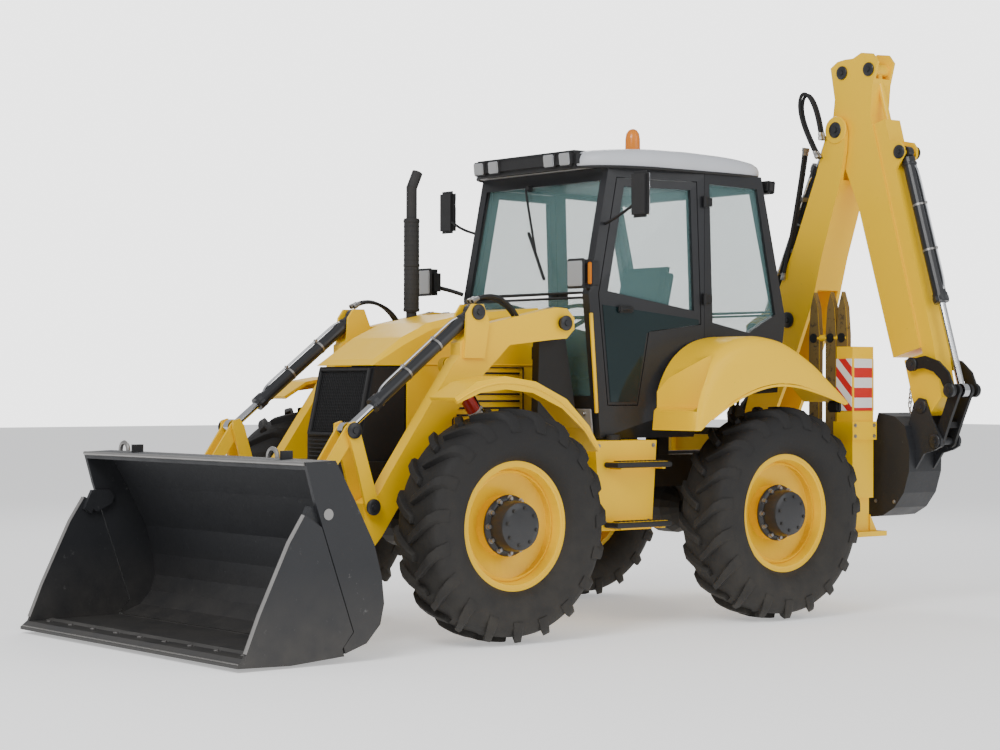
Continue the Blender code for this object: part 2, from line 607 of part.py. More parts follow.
def make_bucket():
    body = outline([SPLIT[0], *BACK, SPLIT[2], SPLIT[1]], -BUCKET_HALF, BUCKET_HALF)
    inner = [(-1.60, 1.02), (-1.46, 1.02), (-1.335, 1.035), (-1.222, 0.847), (-1.094, 0.605), (-1.045, 0.43),
             (-1.03, 0.30), (-1.055, 0.205), (-1.13, 0.125), (-1.26, 0.078), (-1.40, 0.03)]
    room = outline(inner, -BUCKET_HALF + PLATE, BUCKET_HALF - PLATE)
    adds = [body]
    cuts = [room]
    for side, _ in SIDES:
        for x in (both_sides(side, ARM_X - 0.095, ARM_X - 0.057), both_sides(side, ARM_X + 0.057, ARM_X + 0.095)):
            ear = [(-1.21, 0.88), (-1.15, 0.90), (-1.085, 0.855), (-1.08, 0.70), (-0.95, 0.53), (-0.87, 0.47),
                   (-0.88, 0.38), (-0.96, 0.36), (-1.03, 0.38), (-1.055, 0.60)]
            adds.append(outline(ear, *x))
        adds.append(pin(both_sides(side, ARM_X - 0.09, ARM_X + 0.09), BUCKET_LINK, 0.025))
        adds.append(pin(both_sides(side, ARM_X - 0.09, ARM_X + 0.09), BUCKET_PIVOT, 0.03))
        adds.append(box(both_sides(side, 0.79, 0.81), (-1.40, -1.33), (1.05, 1.11)))
    cuts += [hole((-1.3, 1.3), JAW_PIVOT, 0.03)]
    piece("loader_bucket", adds, cuts, at=(0, *BUCKET_PIVOT), look=charcoal)


def make_jaw():
    gap = 0.006
    edge = [(y - gap, z) for y, z in SPLIT]
    side_view = [(-1.46, 0.757), (-1.509, 0.79), (-1.607, 0.64), (-1.79, 0.275), (-1.875, 0.07), (-1.92, 0.035), (-1.92, 0.02),
                 (-1.60, 0.012), (-1.262, 0.037), (edge[2][0] - 0.004, edge[2][1] - 0.008), edge[1], (-1.406, 0.72)]
    body = outline(side_view, -BUCKET_HALF, BUCKET_HALF)
    room = outline([(-1.95, 0.066), (-1.28, 0.072), (-1.10, 0.20), (-1.3, 1.0), (-1.95, 1.0)],
                   -BUCKET_HALF + PLATE, BUCKET_HALF - PLATE)
    adds = [combine([body], [room])]
    for side, _ in SIDES:
        arm = [(-1.475, 0.83), (-1.52, 0.74), (-1.44, 0.70), (-1.345, 0.745), (-1.325, 0.79), (-1.36, 0.83)]
        adds.append(outline(arm, *both_sides(side, BUCKET_HALF - 0.055, BUCKET_HALF - PLATE - 0.001)))
        adds.append(outline([(-1.50, 0.765), (-1.53, 0.72), (-1.48, 0.69), (-1.46, 0.74)],
                            *both_sides(side, BUCKET_HALF - 0.055, BUCKET_HALF - 0.01)))
        adds.append(pin(both_sides(side, BUCKET_HALF - 0.05, BUCKET_HALF - 0.002), JAW_PIVOT, 0.03))
    piece("bucket_jaw", adds, at=(0, *JAW_PIVOT), look=charcoal)


make_arms()
make_bucket()
make_jaw()
for side, side_name in SIDES:
    make_lever(side, side_name)
    ram(f"{side_name}_lift", LIFT_BASE, LIFT_EYE, side * LIFT_X, 0.855, 0.04, 0.025, 0.095, 0.085)
    ram(f"{side_name}_tilt", TILT_BASE, LEVER_TOP, side * ARM_X, 0.893, 0.038, 0.023, 0.30, 0.13)


# ---- rear frame and stabilisers --------------------------------------------------------------
def make_rear_frame():
    adds = [box((-0.80, 0.80), (LEG_Y - 0.06, LEG_Y + 0.04), (1.00, 1.12)),
            box((-0.80, 0.80), (LEG_Y - 0.06, LEG_Y + 0.04), (0.53, 0.63))]
    for side, _ in SIDES:
        adds.append(box(both_sides(side, 0.26, 0.34), (2.90, LEG_Y - 0.05), (0.52, 1.10)))
        adds.append(box(both_sides(side, LEG_X - 0.07, LEG_X + 0.07), (LEG_Y - 0.10, LEG_Y + 0.10), (0.73, 1.72)))
        adds.append(box(both_sides(side, LEG_X - 0.085, LEG_X + 0.085), (LEG_Y - 0.115, LEG_Y + 0.115), (1.11, 1.23)))
        adds.append(box(both_sides(side, 0.70, LEG_X), (LEG_Y - 0.06, LEG_Y + 0.04), (0.53, 1.05)))
    for x in (0.53, 0.68, 0.78):
        finger = [(x - 0.045, 1.10), (x + 0.045, 1.10), (x + 0.05, 1.80), (x + 0.035, 1.98), (x, 2.08), (x - 0.03, 1.98),
                  (x - 0.045, 1.80)]
        adds.append(outline(finger, LEG_Y - 0.04, LEG_Y - 0.005, "Y"))
    adds.append(bar((0.50, LEG_Y - 0.022, 1.78), (0.82, LEG_Y - 0.022, 1.78), 0.022))
    cuts = []
    for side, _ in SIDES:
        half_x, half_y = 0.05 + SLIDE_GAP, 0.08 + SLIDE_GAP
        cuts.append(box(both_sides(side, LEG_X - half_x, LEG_X + half_x), (LEG_Y - half_y, LEG_Y + half_y), (0.3, 1.69)))
        cuts.append(box(both_sides(side, 0.20, 0.40), (2.85, 2.94 + GAP), (RAIL_LOW - GAP, RAIL_TOP + GAP)))
    piece("rear_frame", adds, cuts)


def make_leg(side, name):
    x = both_sides(side, LEG_X - 0.05, LEG_X + 0.05)
    foot = both_sides(side, LEG_X - 0.12, LEG_X + 0.10)
    adds = [box(x, (LEG_Y - 0.08, LEG_Y + 0.08), (0.50, 1.60)), box(foot, (LEG_Y - 0.14, LEG_Y + 0.20), (0.477, 0.51))]
    piece(f"{name}_stabiliser", adds, at=(side * LEG_X, LEG_Y, 0))


make_rear_frame()
for side, side_name in SIDES:
    make_leg(side, side_name)


# ---- backhoe ---------------------------------------------------------------------------------
LUGS = ((0.46, 0.53), (0.97, 1.04))   # bearing plates of the carriage


def make_carriage():
    x0, x1 = SWING_X - 0.17, SWING_X + 0.17
    front = LEG_Y + 0.04 + SLIDE_GAP
    adds = [box((x0, x1), (front, 3.15), (0.46, 1.17)),
            box((x0, x1), (LEG_Y + 0.002, front + 0.02), (1.12 + SLIDE_GAP, 1.17))]
    lug = [(SWING_X - 0.10, 3.13), (SWING_X + 0.10, 3.13), (SWING_X + 0.085, SWING_Y + 0.03),
           (SWING_X + 0.05, SWING_Y + 0.085), (SWING_X - 0.05, SWING_Y + 0.085), (SWING_X - 0.085, SWING_Y + 0.03)]
    adds += [outline(lug, low, high, "Z") for low, high in LUGS]
    cuts = [bar((SWING_X, SWING_Y, 0.3), (SWING_X, SWING_Y, 1.3), bore_radius(0.04))]
    piece("side_shift_carriage", adds, cuts, at=(SWING_X, LEG_Y, 0.8), look=black)


def make_kingpost():
    y = SWING_Y
    low, high = LUGS[0][1] + SLIDE_GAP, LUGS[1][0] - SLIDE_GAP
    adds = [bar((SWING_X, y, low), (SWING_X, y, high), 0.075),
            bar((SWING_X, y, 0.45), (SWING_X, y, 1.055), 0.04),
            box((SWING_X - 0.04, -0.45), (y - 0.09, y + 0.09), (0.62, 0.94))]
    cheek = [(SWING_X, 0.60), (-0.40, 0.70), (-0.27, 0.80), (-0.26, 0.92), (-0.38, 1.20), (-0.54, 1.325),
             (-0.62, 1.325), (-0.66, 1.27), (-0.65, 1.19), (-0.56, 1.12), (-0.455, 1.08), (-0.455, 0.95), (SWING_X, 0.95)]
    for at in (y - 0.094, y + 0.066):
        adds.append(outline(cheek, at, at + 0.028, "Y"))
    adds.append(pin((y - 0.135, y + 0.135), BOOM_FOOT, 0.035, "Y"))
    adds.append(pin((y - 0.09, y + 0.09), BOOM_RAM_BASE, 0.03, "Y"))
    piece("kingpost", adds, at=(SWING_X, SWING_Y, 0), look=black)


def make_boom():
    y = SWING_Y
    body = tapered([(-0.40, 0.76), BOOM_FOOT, (-0.31, 1.25), (-0.10, 1.75), (0.06, 2.10), (0.17, 2.39), (0.355, 2.87),
                    (0.41, 3.08), BOOM_TIP, (0.445, 3.27)],
                   [0.12, 0.19, 0.27, 0.34, 0.33, 0.27, 0.23, 0.20, 0.17, 0.09])
    ear = [(-0.26, 1.78), (-0.42, 1.80), (-0.43, 1.89), (-0.36, 1.93), (-0.10, 2.05), (-0.05, 1.85)]
    adds = [outline(body, y - BOOM_HALF, y + BOOM_HALF, "Y"), outline(ear, y - BOOM_HALF, y + BOOM_HALF, "Y"),
            pin((y - BOOM_HALF, y + BOOM_HALF), STICK_RAM_BASE, 0.03, "Y")]
    lower = [(-0.9, 0.6), (0.4, 0.6), (0.45, 2.12), (-0.9, 2.12)]
    head = [(0.15, 2.86), (0.80, 2.86), (0.80, 3.6), (0.15, 3.6)]
    cuts = [combine([outline(lower, y - FORK, y + FORK, "Y")],
                    [pin((y - 0.2, y + 0.2), STICK_RAM_BASE, 0.03, "Y")]),
            combine([outline(head, y - FORK, y + FORK, "Y")], [pin((y - 0.2, y + 0.2), BOOM_TIP, 0.035, "Y")]),
            hole((y - 0.2, y + 0.2), BOOM_FOOT, 0.035, "Y")]
    piece("boom", adds, cuts, at=(BOOM_FOOT[0], y, BOOM_FOOT[1]))


DIP = (sin(radians(15.5)), -cos(radians(15.5)))


def dip(along, out):
    """A point of the dipper: metres down its length from the boom tip, and out from it."""
    return (BOOM_TIP[0] + DIP[0] * along - DIP[1] * out, BOOM_TIP[1] + DIP[1] * along + DIP[0] * out)


def make_dipper():
    y = SWING_Y
    body = [dip(-0.44, 0.03), dip(-0.46, 0.10), dip(-0.45, 0.17), dip(-0.43, 0.24), dip(-0.44, 0.32), dip(-0.40, 0.41),
            dip(-0.33, 0.44), dip(-0.20, 0.36), dip(0.0, 0.284), dip(1.62, 0.284), dip(1.62, 0.045), dip(0.55, 0.02),
            dip(0.09, -0.05), dip(0.03, -0.09), dip(-0.04, -0.09), dip(-0.10, -0.04), dip(-0.22, 0.01)]
    rod = (dip(-0.306, 0.3525), dip(1.30, 0.3525))
    rod_bar = ((rod[0][0], y, rod[0][1]), (rod[1][0], y, rod[1][1]), 0.02)
    slot = [dip(-0.6, -0.2), dip(-0.6, 0.6), dip(-0.20, 0.6), dip(-0.245, 0.30), dip(-0.27, 0.18), dip(-0.10, 0.02),
            dip(-0.08, -0.2)]
    cuts = [combine([outline(slot, y - 0.07, y + 0.07, "Y")],
                    [pin((y - 0.1, y + 0.1), REACH_RAM_EYE, 0.04, "Y"), bar(*rod_bar)]),
            hole((y - 0.2, y + 0.2), BOOM_TIP, 0.035, "Y")]
    adds = [outline(body[::-1], y - DIPPER_HALF, y + DIPPER_HALF, "Y"), bar(*rod_bar)]
    piece("dipper", adds, cuts, at=(BOOM_TIP[0], y, BOOM_TIP[1]))


def make_extension():
    y, slide = SWING_Y, 0.284 + SLIDE_GAP
    body = [dip(0.06, slide), dip(0.06, 0.388), dip(1.62, 0.388), dip(1.98, 0.36), dip(2.05, 0.25), dip(2.06, 0.20),
            dip(2.03, 0.14), dip(1.95, 0.12), dip(1.66, 0.12), dip(1.66, slide)]
    ear = [dip(0.20, 0.37), dip(0.25, 0.47), dip(0.30, 0.488), dip(0.345, 0.475), dip(0.43, 0.37)]
    room = [dip(0.05, 0.3885), dip(0.60, 0.3885), dip(0.60, 0.6), dip(0.05, 0.6)]
    adds = [outline(body, y - SLIDE_HALF, y + SLIDE_HALF, "Y"), outline(ear, y - SLIDE_HALF, y + SLIDE_HALF, "Y")]
    start, end = dip(-0.2, 0.3525), dip(1.55, 0.3525)
    cuts = [combine([outline(room, y - 0.055, y + 0.055, "Y")], [pin((y - 0.1, y + 0.1), SCOOP_RAM_BASE, 0.02, "Y")]),
            bar((start[0], y, start[1]), (end[0], y, end[1]), bore_radius(0.02)),
            hole((y - 0.2, y + 0.2), SCOOP_PIVOT, 0.03, "Y"), hole((y - 0.2, y + 0.2), GUIDE_PIVOT, 0.025, "Y")]
    piece("dipper_extension", adds, cuts, at=(SCOOP_PIVOT[0], y, SCOOP_PIVOT[1]))


def make_links():
    y = SWING_Y
    guide = tapered([GUIDE_PIVOT, (1.20, 1.62), (1.30, 1.59), (1.37, 1.53), CRANK_PIN], [0.07, 0.08, 0.08, 0.08, 0.07])
    adds = [pin((y - 0.124, y + 0.124), GUIDE_PIVOT, 0.025, "Y")]
    for low in (y - 0.125, y + 0.106):
        adds += [outline(guide, low, low + 0.019, "Y"), pin((low, low + 0.019), CRANK_PIN, 0.045, "Y"),
                 pin((low, low + 0.019), GUIDE_PIVOT, 0.045, "Y")]
    piece("guide_link", adds, at=(GUIDE_PIVOT[0], y, GUIDE_PIVOT[1]), look=black)
    reach = [(CRANK_PIN[i] * (1 - part) + SCOOP_LINK[i] * part) for part in (0.5, 0.68) for i in (0, 1)]
    tip = tapered([CRANK_PIN, (reach[0], reach[1]), SCOOP_LINK], [0.08, 0.075, 0.08])
    adds = [box((reach[2] - 0.02, reach[2] + 0.02), (y - 0.06, y + 0.06), (reach[3] - 0.02, reach[3] + 0.02))]
    for low in (y - 0.072, y + 0.048):
        adds += [outline(tip, low, low + 0.024, "Y"), pin((low, low + 0.024), CRANK_PIN, 0.043, "Y"),
                 pin((low, low + 0.024), SCOOP_LINK, 0.043, "Y")]
    piece("tipping_link", adds, [hole((y - 0.2, y + 0.2), SCOOP_LINK, 0.025, "Y")],
          at=(SCOOP_LINK[0], y, SCOOP_LINK[1]), look=black)


def make_scoop():
    y = SWING_Y
    skin = [(0.84, 1.285), (0.98, 1.262), (1.07, 1.20), (1.11, 1.05), (1.105, 0.90), (1.06, 0.76), (0.98, 0.66), (0.88, 0.605),
            (0.76, 0.59), (0.60, 0.615)]
    inner = [(0.60, 1.26), (0.97, 1.238), (1.048, 1.185), (1.087, 1.05), (1.082, 0.905), (1.04, 0.77), (0.965, 0.68),
             (0.875, 0.628), (0.76, 0.613), (0.58, 0.64), (0.45, 0.9)]
    body = outline(skin[::-1], y - SCOOP_HALF, y + SCOOP_HALF, "Y")
    room = outline(inner, y - SCOOP_HALF + 0.018, y + SCOOP_HALF - 0.018, "Y")
    ears = [(1.04, 1.18), (1.09, 1.345), (1.135, 1.385), (1.185, 1.375), (1.24, 1.25), (1.325, 1.12), (1.32, 1.07), (1.27, 1.045),
            (1.18, 1.02), (1.08, 0.88), (1.07, 1.0)]
    hollow = combine([body], [room])
    adds = [hollow]
    for low in (y - 0.100, y + 0.081):
        adds.append(outline(ears, low, low + 0.019, "Y"))
    adds += [pin((y - 0.098, y + 0.098), SCOOP_PIVOT, 0.03, "Y"), pin((y - 0.098, y + 0.098), SCOOP_LINK, 0.025, "Y")]
    for i in range(4):
        low = y - SCOOP_HALF + i * (2 * SCOOP_HALF - 0.05) / 3
        adds.append(outline([(0.70, 0.598), (0.62, 0.606), (0.48, 0.655), (0.62, 0.636), (0.70, 0.622)], low, low + 0.05, "Y"))
    piece("digging_bucket", adds, at=(SCOOP_PIVOT[0], y, SCOOP_PIVOT[1]), look=charcoal)


make_carriage()
make_kingpost()
make_boom()
make_dipper()
make_extension()
make_links()
make_scoop()
ram("boom_ram", BOOM_RAM_BASE, BOOM_RAM_EYE, SWING_Y, 0.815, 0.05, 0.03, 0.12, 0.11, "Y", 0.05, 0.03, 0.03)
ram("stick_ram", STICK_RAM_BASE, STICK_RAM_EYE, SWING_Y, 1.25, 0.055, 0.03, 0.75, 0.14, "Y", 0.05, 0.03, 0.025)
ram("scoop_ram", SCOOP_RAM_BASE, CRANK_PIN, SWING_Y, 1.05, 0.045, 0.025, 0.60, 0.10, "Y", 0.05, 0.02, 0.025)
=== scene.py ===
# %% [markdown]
# # A backhoe loader, dressed over its working model
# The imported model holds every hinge, slide, pin and tube of the machine in metres. This lesson
# adds what such a model leaves out: tread, glass, lamps, hoses, bolts, grilles and the finishes.
# Each new piece rides on the body that carries it, so it follows when the machine moves.

# %% Load the model and find the machine's own zero
import json
import math
import bpy
import bmesh
from mathutils import Matrix, Vector


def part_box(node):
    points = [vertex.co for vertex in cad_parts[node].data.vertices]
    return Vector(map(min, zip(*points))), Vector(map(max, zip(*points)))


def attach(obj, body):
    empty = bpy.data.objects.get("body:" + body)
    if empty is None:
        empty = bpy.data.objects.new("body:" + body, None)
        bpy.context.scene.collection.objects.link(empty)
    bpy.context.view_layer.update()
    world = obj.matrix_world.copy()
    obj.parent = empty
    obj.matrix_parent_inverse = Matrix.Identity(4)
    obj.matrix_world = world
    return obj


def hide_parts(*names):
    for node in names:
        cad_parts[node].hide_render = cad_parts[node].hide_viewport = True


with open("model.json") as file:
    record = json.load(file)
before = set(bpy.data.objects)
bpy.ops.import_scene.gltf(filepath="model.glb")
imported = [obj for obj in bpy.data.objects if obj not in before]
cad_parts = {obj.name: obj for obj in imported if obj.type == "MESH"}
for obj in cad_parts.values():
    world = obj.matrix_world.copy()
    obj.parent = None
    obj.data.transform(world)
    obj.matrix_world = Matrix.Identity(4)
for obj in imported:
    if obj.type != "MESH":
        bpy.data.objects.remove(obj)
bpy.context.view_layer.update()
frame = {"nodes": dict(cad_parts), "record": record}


def middle(node):
    low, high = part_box(node)
    return Vector([(a + b) / 2 for a, b in zip(low, high)])


zero = Vector((middle("main_frame").x, middle("front_left_tyre").y, 0))
axle_height = middle("front_left_tyre").z
wheelbase = middle("rear_left_tyre").y - middle("front_left_tyre").y
print("front axle's ground point", tuple(round(v, 3) for v in zero), "wheelbase", round(wheelbase, 3))


def at(x, y, z):
    """A point given from the ground under the front axle: x to the machine's left, y rearward."""
    return Vector((x, y, z)) + zero


# %% [markdown]
# ## Finishes
# Paint on a working machine is never one colour. Soft, large noise shifts the colour, fine noise
# gives the orange-peel surface, and dust gathers low down, where the wheels throw it. One small
# recipe makes every painted finish, so all of them weather in the same way.

# %% A recipe for weathered surfaces
def weathered(name, colour, rough=0.45, metal=0.0, dust=0.25, dust_height=1.2, grain=60, bump=0.05,
    tone=0.82, coat=0.0, marks=0.0, mark_colour=(0.30, 0.29, 0.28)):
    made = bpy.data.materials.new(name)
    made.use_nodes = True
    tree = made.node_tree
    node, link = tree.nodes.new, tree.links.new
    shader = tree.nodes["Principled BSDF"]
    shader.inputs["Metallic"].default_value = metal
    shader.inputs["Coat Weight"].default_value = coat
    shader.inputs["Coat Roughness"].default_value = 0.12
    shader.inputs["Specular IOR Level"].default_value = 0.35
    place = node("ShaderNodeTexCoord").outputs["Object"]
    broad = node("ShaderNodeTexNoise")
    broad.inputs["Scale"].default_value = 3.2
    broad.inputs["Detail"].default_value = 5
    link(place, broad.inputs["Vector"])
    shade = node("ShaderNodeMix")
    shade.data_type = "RGBA"
    shade.inputs[6].default_value = (*[c * tone for c in colour], 1)
    shade.inputs[7].default_value = (*colour, 1)
    link(broad.outputs["Fac"], shade.inputs[0])
    last = shade.outputs[2]
    if marks:
        streak = node("ShaderNodeTexNoise")
        streak.inputs["Scale"].default_value = 24
        streak.inputs["Detail"].default_value = 9
        streak.inputs["Roughness"].default_value = 0.72
        link(place, streak.inputs["Vector"])
        gate = node("ShaderNodeMapRange")
        gate.inputs["From Min"].default_value = 0.66 - marks * 0.12
        gate.inputs["From Max"].default_value = 0.74 - marks * 0.10
        link(streak.outputs["Fac"], gate.inputs["Value"])
        worn = node("ShaderNodeMix")
        worn.data_type = "RGBA"
        worn.inputs[7].default_value = (*mark_colour, 1)
        link(gate.outputs["Result"], worn.inputs[0])
        link(last, worn.inputs[6])
        last = worn.outputs[2]
    split = node("ShaderNodeSeparateXYZ")
    link(place, split.inputs["Vector"])
    height = node("ShaderNodeMapRange")
    height.inputs["From Min"].default_value = 0.0
    height.inputs["From Max"].default_value = dust_height
    height.inputs["To Min"].default_value = dust * 1.7
    height.inputs["To Max"].default_value = 0.0
    link(split.outputs["Z"], height.inputs["Value"])
    cloud = node("ShaderNodeTexNoise")
    cloud.inputs["Scale"].default_value = 9
    cloud.inputs["Detail"].default_value = 8
    link(place, cloud.inputs["Vector"])
    amount = node("ShaderNodeMath")
    amount.operation = "MULTIPLY"
    link(height.outputs["Result"], amount.inputs[0])
    link(cloud.outputs["Fac"], amount.inputs[1])
    dusty = node("ShaderNodeMix")
    dusty.data_type = "RGBA"
    dusty.inputs[7].default_value = (0.33, 0.29, 0.23, 1)
    link(amount.outputs["Value"], dusty.inputs[0])
    link(last, dusty.inputs[6])
    link(dusty.outputs[2], shader.inputs["Base Color"])
    polish = node("ShaderNodeMapRange")
    polish.inputs["To Min"].default_value = max(rough - 0.10, 0.03)
    polish.inputs["To Max"].default_value = min(rough + 0.14, 1.0)
    link(cloud.outputs["Fac"], polish.inputs["Value"])
    link(polish.outputs["Result"], shader.inputs["Roughness"])
    fine = node("ShaderNodeTexNoise")
    fine.inputs["Scale"].default_value = grain
    fine.inputs["Detail"].default_value = 3
    link(place, fine.inputs["Vector"])
    relief = node("ShaderNodeBump")
    relief.inputs["Strength"].default_value = bump
    relief.inputs["Distance"].default_value = 0.01
    link(fine.outputs["Fac"], relief.inputs["Height"])
    link(relief.outputs["Normal"], shader.inputs["Normal"])
    return made


paint_yellow = weathered("golden_yellow_paint", (1.0, 0.60, 0.0), 0.38, dust=0.03, dust_height=1.0, bump=0.02,
    tone=0.95, coat=0.08, marks=0.03, mark_colour=(0.50, 0.30, 0.02))
paint_black = weathered("black_chassis_paint", (0.012, 0.012, 0.013), 0.48, dust=0.14, marks=0.06,
    mark_colour=(0.10, 0.09, 0.08))
paint_bucket = weathered("bucket_charcoal", (0.026, 0.027, 0.030), 0.46, dust=0.10, dust_height=0.5, grain=38,
    bump=0.10,
    marks=0.2, mark_colour=(0.09, 0.09, 0.09))
paint_barrel = weathered("cylinder_charcoal", (0.022, 0.023, 0.026), 0.34, dust=0.05, coat=0.2)
paint_cab = weathered("cab_frame_grey", (0.018, 0.019, 0.022), 0.40, dust=0.05, coat=0.15)
roof_shell = weathered("roof_silver_grey", (0.62, 0.64, 0.68), 0.36, dust=0.0, grain=140, bump=0.04)
bare_steel = weathered("bright_rod_steel", (0.62, 0.63, 0.65), 0.14, metal=1.0, dust=0.0, grain=220, bump=0.01)
worn_steel = weathered("worn_edge_steel", (0.36, 0.35, 0.34), 0.38, metal=0.85, dust=0.1, dust_height=0.4,
    marks=0.4)
sill_steel = weathered("sill_plate_silver", (0.55, 0.56, 0.58), 0.34, metal=0.6, dust=0.2)
engine_iron = weathered("exhaust_black", (0.028, 0.027, 0.027), 0.62, dust=0.1, grain=90, bump=0.15)
tyre_rubber = weathered("tyre_rubber", (0.010, 0.010, 0.011), 0.70, dust=0.10, dust_height=1.5, grain=45,
    bump=0.2)
hose_rubber = weathered("hose_rubber", (0.016, 0.016, 0.017), 0.58, dust=0.1, grain=260, bump=0.25)
seat_cloth = weathered("seat_cloth", (0.035, 0.036, 0.040), 0.9, dust=0.0, grain=520, bump=0.5)
trim_plastic = weathered("moulded_black_trim", (0.020, 0.020, 0.021), 0.55, dust=0.05, grain=320, bump=0.2)
lift_red = weathered("lift_cylinder_red", (0.52, 0.030, 0.022), 0.36, dust=0.2, coat=0.2)
grease_brown = weathered("greasy_brown_steel", (0.20, 0.13, 0.04), 0.45, dust=0.1, dust_height=2.2, marks=0.9,
    mark_colour=(0.03, 0.025, 0.02))
print(len(bpy.data.materials), "weathered finishes")

# %% [markdown]
# Glass, lamp lenses and the striped board on the stabilisers need their own small trees. The cab's
# glass is lightly tinted, and it stays thin and clear enough to see the seat through it.

# %% Glass, lenses and hazard stripes
def clear_glass(name, colour, rough=0.03, alpha=1.0, transmit=1.0):
    made = bpy.data.materials.new(name)
    made.use_nodes = True
    tree = made.node_tree
    shader = tree.nodes["Principled BSDF"]
    shader.inputs["Base Color"].default_value = (*colour, 1)
    shader.inputs["Transmission Weight"].default_value = transmit
    shader.inputs["IOR"].default_value = 1.45
    shader.inputs["Alpha"].default_value = alpha
    smear = tree.nodes.new("ShaderNodeTexNoise")
    smear.inputs["Scale"].default_value = 6
    spread = tree.nodes.new("ShaderNodeMapRange")
    spread.inputs["To Min"].default_value = rough
    spread.inputs["To Max"].default_value = rough + 0.06
    where = tree.nodes.new("ShaderNodeTexCoord")
    tree.links.new(where.outputs["Object"], smear.inputs["Vector"])
    tree.links.new(smear.outputs["Fac"], spread.inputs["Value"])
    tree.links.new(spread.outputs["Result"], shader.inputs["Roughness"])
    return made


cab_glass = clear_glass("tinted_cab_glass", (0.16, 0.30, 0.30), rough=0.0, alpha=0.30, transmit=0.0)
deep_tint = clear_glass("deep_tinted_glass", (0.010, 0.022, 0.024), rough=0.02, alpha=1.0, transmit=0.0)
lens_clear = clear_glass("clear_lamp_lens", (0.86, 0.88, 0.90), rough=0.12, alpha=0.9, transmit=0.6)
lens_amber = clear_glass("amber_lens", (0.95, 0.30, 0.02), rough=0.15, transmit=0.35)
lens_red = clear_glass("red_lens", (0.60, 0.02, 0.02), rough=0.15, transmit=0.35)

hazard = bpy.data.materials.new("red_and_white_stripes")
hazard.use_nodes = True
tree = hazard.node_tree
where = tree.nodes.new("ShaderNodeTexCoord")
turn = tree.nodes.new("ShaderNodeMapping")
turn.inputs["Rotation"].default_value = (0, math.radians(45), 0)
bands = tree.nodes.new("ShaderNodeTexWave")
bands.wave_type, bands.bands_direction = "BANDS", "X"
bands.inputs["Scale"].default_value = 3.4
bands.inputs["Distortion"].default_value = 0
step = tree.nodes.new("ShaderNodeValToRGB")
step.color_ramp.interpolation = "CONSTANT"
step.color_ramp.elements[0].color = (0.62, 0.02, 0.02, 1)
step.color_ramp.elements[1].color = (0.82, 0.82, 0.80, 1)
step.color_ramp.elements[1].position = 0.5
tree.links.new(where.outputs["Object"], turn.inputs["Vector"])
tree.links.new(turn.outputs["Vector"], bands.inputs["Vector"])
tree.links.new(bands.outputs["Fac"], step.inputs["Fac"])
tree.links.new(step.outputs["Color"], tree.nodes["Principled BSDF"].inputs["Base Color"])
tree.nodes["Principled BSDF"].inputs["Roughness"].default_value = 0.4
print("glass, lenses and stripes ready")

# %% [markdown]
# ## Paint the model's own pieces
# Their shapes are right already, so they only take a finish. The tyres and the seat are replaced
# further on by shaped pieces.

# %% Give each model piece its finish
finish_of = {
    "yellow": (paint_yellow, ["fender", "side_tanks", "hood", "loader_arms", "lever", "link", "rear_frame",
        "stabiliser",
        "boom", "dipper", "rim"]),
    "black": (paint_black, ["main_frame", "axle", "knuckle", "carriage", "kingpost", "guide_link",
        "tipping_link"]),
    "cab": (paint_cab, ["cab_frame", "door"]),
    "bucket": (paint_bucket, ["loader_bucket", "bucket_jaw", "digging_bucket"]),
    "barrel": (paint_barrel, ["barrel"]),
    "rod": (bare_steel, ["_rod"]),
    "roof": (roof_shell, ["cab_roof"]),
    "engine": (engine_iron, ["engine"]),
    "lift": (lift_red, ["left_lift_barrel", "right_lift_barrel"]),
}


def node_object(node):
    return bpy.data.objects[node] if node in bpy.data.objects else frame["nodes"][node]


node_names = [entry["node"] for entry in frame["record"]["subparts"]]
for node in node_names:
    for finish, words in finish_of.values():
        if any(word in node for word in words):
            piece = node_object(node)
            piece.data.materials.clear()
            piece.data.materials.append(finish)
print(len(node_names), "pieces painted")

# %% [markdown]
# ## Makers for new pieces
# A few makers cover most shapes: a block with softened edges, a plate cut to an outline, a turned
# ring or cap, and a tube along a path. Each gives a plain mesh with its place in its vertices.

# %% Makers
def finished(name, mesh, finish, body, smooth=40):
    piece = bpy.data.objects.new(name, mesh)
    bpy.context.scene.collection.objects.link(piece)
    mesh.materials.clear()
    mesh.materials.append(finish)
    mesh.shade_smooth()
    mesh.set_sharp_from_angle(angle=math.radians(smooth))
    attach(piece, body)
    return piece


def to_mesh(work, name="made"):
    bmesh.ops.recalc_face_normals(work, faces=work.faces)
    mesh = bpy.data.meshes.new(name)
    work.to_mesh(mesh)
    work.free()
    return mesh


def soft_block(low, high, edge=0.006, steps=2, turn=None):
    """A box between two corners with softened edges, turned about its middle."""
    work = bmesh.new()
    bmesh.ops.create_cube(work, size=1)
    size = [b - a for a, b in zip(low, high)]
    centre = Vector([(a + b) / 2 for a, b in zip(low, high)])
    work.transform(Matrix.Diagonal((*size, 1)))
    bmesh.ops.bevel(work, geom=work.edges[:], offset=min(edge, min(size) * 0.45), segments=steps,
        affect="EDGES")
    work.transform(Matrix.Translation(centre) @ (turn or Matrix()))
    return to_mesh(work)


def plate(points, thick, edge=0.0):
    """A flat plate from a closed loop of 3-D points, thickened evenly about the loop's plane."""
    work = bmesh.new()
    corners = [work.verts.new(p) for p in points]
    face = work.faces.new(corners)
    face.normal_update()
    across = face.normal * (thick / 2)
    for corner in corners:
        corner.co -= across
    grown = bmesh.ops.extrude_face_region(work, geom=[face])
    for item in grown["geom"]:
        if isinstance(item, bmesh.types.BMVert):
            item.co += across * 2
    if edge:
        bmesh.ops.bevel(work, geom=work.edges[:], offset=edge, segments=2, affect="EDGES")
    return to_mesh(work)


